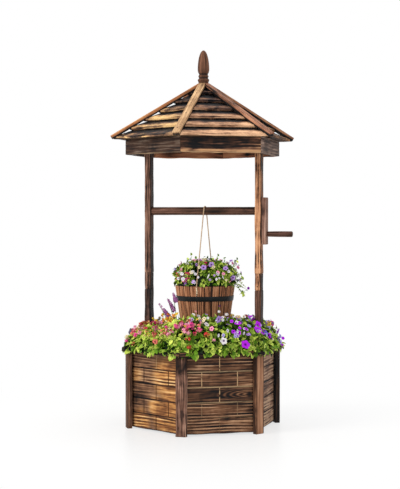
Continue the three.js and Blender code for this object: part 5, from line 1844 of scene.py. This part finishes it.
# Sprigs: thin stems through points of the picture, a distance away, with small leaves in turn round them
def sprigParts(draw, routes, distance, size, count=5):
    ways = [eye + distance * rayThrough(np.array(route[0::2]), np.array(route[1::2])) for route in routes]
    starts, ends = np.concatenate([way[:-1] for way in ways]), np.concatenate([way[1:] for way in ways])
    run = np.repeat(ends - starts, count, axis=0)
    shares = np.tile(np.linspace(0.2, 1, count), len(starts))[:, None]
    places = np.repeat(starts, count, axis=0) + shares * run
    along = 0.7 * unit(run) + unit(draw.normal(size=run.shape))
    facing, lengths = up + 0.6 * draw.normal(size=run.shape), draw.uniform(*size, len(run))
    stems = stemsTo(draw, ends, starts, 0.0007, planting["sprig"])
    return stems, manyOf(broadLeaf, places, along, facing, lengths, greens(draw, places))


# The bed: ground, loose and hanging leaves, blossoms on stems, and flower spikes
def plantBed():
    draw, bed = np.random.default_rng(170), bedShape
    parts = [leafyGround(draw, bed, bedMound, axis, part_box("rim_right")[1][2])]
    for shape, size in zip((broadLeaf, slimLeaf), bed["leafSizes"]):
        places, along, facing, lengths, tint = leafCover(draw, bed, bedMound, axis, size)
        reach = np.linalg.norm(places[:, :2] - axis[:2], axis=1)
        calm = np.clip((reach - bed["calmReach"]) / 0.04, 0.35, 1)
        parts.append(manyOf(shape, places, along, facing, lengths * calm, tint))
    parts.append(hangingLeaves(draw, bed["drooping"], axis, *bed["hem"], True))
    count, span = bed["moreDrooping"]
    parts.append(hangingLeaves(draw, count, axis, *bed["hem"], True, span))
    listed = listedFlowers(bedFlowers + drifted(draw, bedDrifts), bedMound, axis, bed["blossomOut"])
    blooms, tips = bloomParts(draw, *listed), listed[0]
    flat = (tips - axis)[:, :2] * bed["stemShare"]
    feet = np.column_stack([flat + axis[:2], np.minimum(bedMound(flat), tips[:, 2]) - 0.02])
    parts.append(stemsTo(draw, tips, feet, bed["stemThickness"], planting["stem"]))
    blooms += bloomParts(draw, *otherFlowers(draw, bed, bedMound, axis))
    for route in lavenderSpikes:
        tip, foot = eye + planting["spikes"] * rayThrough(route[0::2], route[1::2])
        blooms += spikeParts(draw, foot, tip, 0.0085)
        ground = np.array([foot[0] + 0.01, foot[1], bedMound(foot[None, :2] - axis[:2])[0] - 0.01])
        ground = ground[None] + draw.normal(size=(1, 3)) * 0.002
        parts.append(stemsTo(draw, tip[None], ground, 0.0016, planting["spike"]))
    makePiece("bed_leaves", parts, leaves, "well", ["bed_planting"], sharp=180)
    makePiece("bed_blossoms", blooms, petals, "well", sharp=180)


# The bucket's planting: the same, but clear of the strands' way up
def plantPail():
    draw, tub = np.random.default_rng(180), pailShape
    ground = leafyGround(draw, tub, pailMound, pailAxis, pailHigh - 0.012)
    points = ground["points"]
    line = np.minimum(points[:, 2], strandHeight(np.abs(points[:, 1]), 0.008))
    points[:, 2] = np.where(besideRope(points, tub["ropeRoom"] + 0.001), line, points[:, 2])
    parts = [ground]
    for shape, size in zip((broadLeaf, slimLeaf), tub["leafSizes"]):
        cover = leafCover(draw, tub, pailMound, pailAxis, size)
        parts.append(clearOfRope(manyOf(shape, *cover), shape))
    hem = ((0.090, 0.107), (pailHigh + 0.052, pailHigh + 0.010), (0.010, 0.018))
    parts.append(clearOfRope(hangingLeaves(draw, tub["drooping"], pailAxis, *hem, False), broadLeaf))
    stems, sprigs = sprigParts(draw, pailSprigs, planting["sprigs"], (0.007, 0.014))
    parts += [clearOfRope(stems, stalk), clearOfRope(sprigs, broadLeaf)]
    listed = listedFlowers(pailFlowers + drifted(draw, pailDrifts), pailMound, pailAxis, tub["blossomOut"])
    blooms, tips = bloomParts(draw, *listed), listed[0]
    blooms += bloomParts(draw, *otherFlowers(draw, tub, pailMound, pailAxis))
    flat = (tips - pailAxis)[:, :2] * tub["stemShare"]
    feet = np.column_stack([flat + pailAxis[:2], pailMound(flat) - 0.012])
    parts.append(clearOfRope(stemsTo(draw, tips, feet, tub["stemThickness"], planting["stem"]), stalk))
    makePiece("bucket_leaves", parts, leaves, "bucket", ["bucket_planting"], sharp=180)
    makePiece("bucket_blossoms", blooms, petals, "bucket", sharp=180)


plantBed()
plantPail()


# Soil: dark crumbs of two sizes with pale specks
def soilFinish():
    made = Finish("soil")
    place = made.place()
    crumbs = made.noise(place, 160, 5, 0.7)
    grains = made.node("TexVoronoi", {"Vector": place, "Scale": 420.0}).outputs["Distance"]
    browns = ((0.010, 0.007, 0.005), (0.05, 0.032, 0.02), (0.16, 0.11, 0.07))
    colour = made.ramp(crumbs, (0.35, 0.62, 0.75), browns)
    bump = (made.math("ADD", crumbs, grains), 1.0, 0.004)
    return made.surface(colour, made.mapped(crumbs, 0.3, 0.7, 0.85, 0.98), bump)


dress(soilFinish(), "bed_soil", "bucket_soil")
print("planting made")
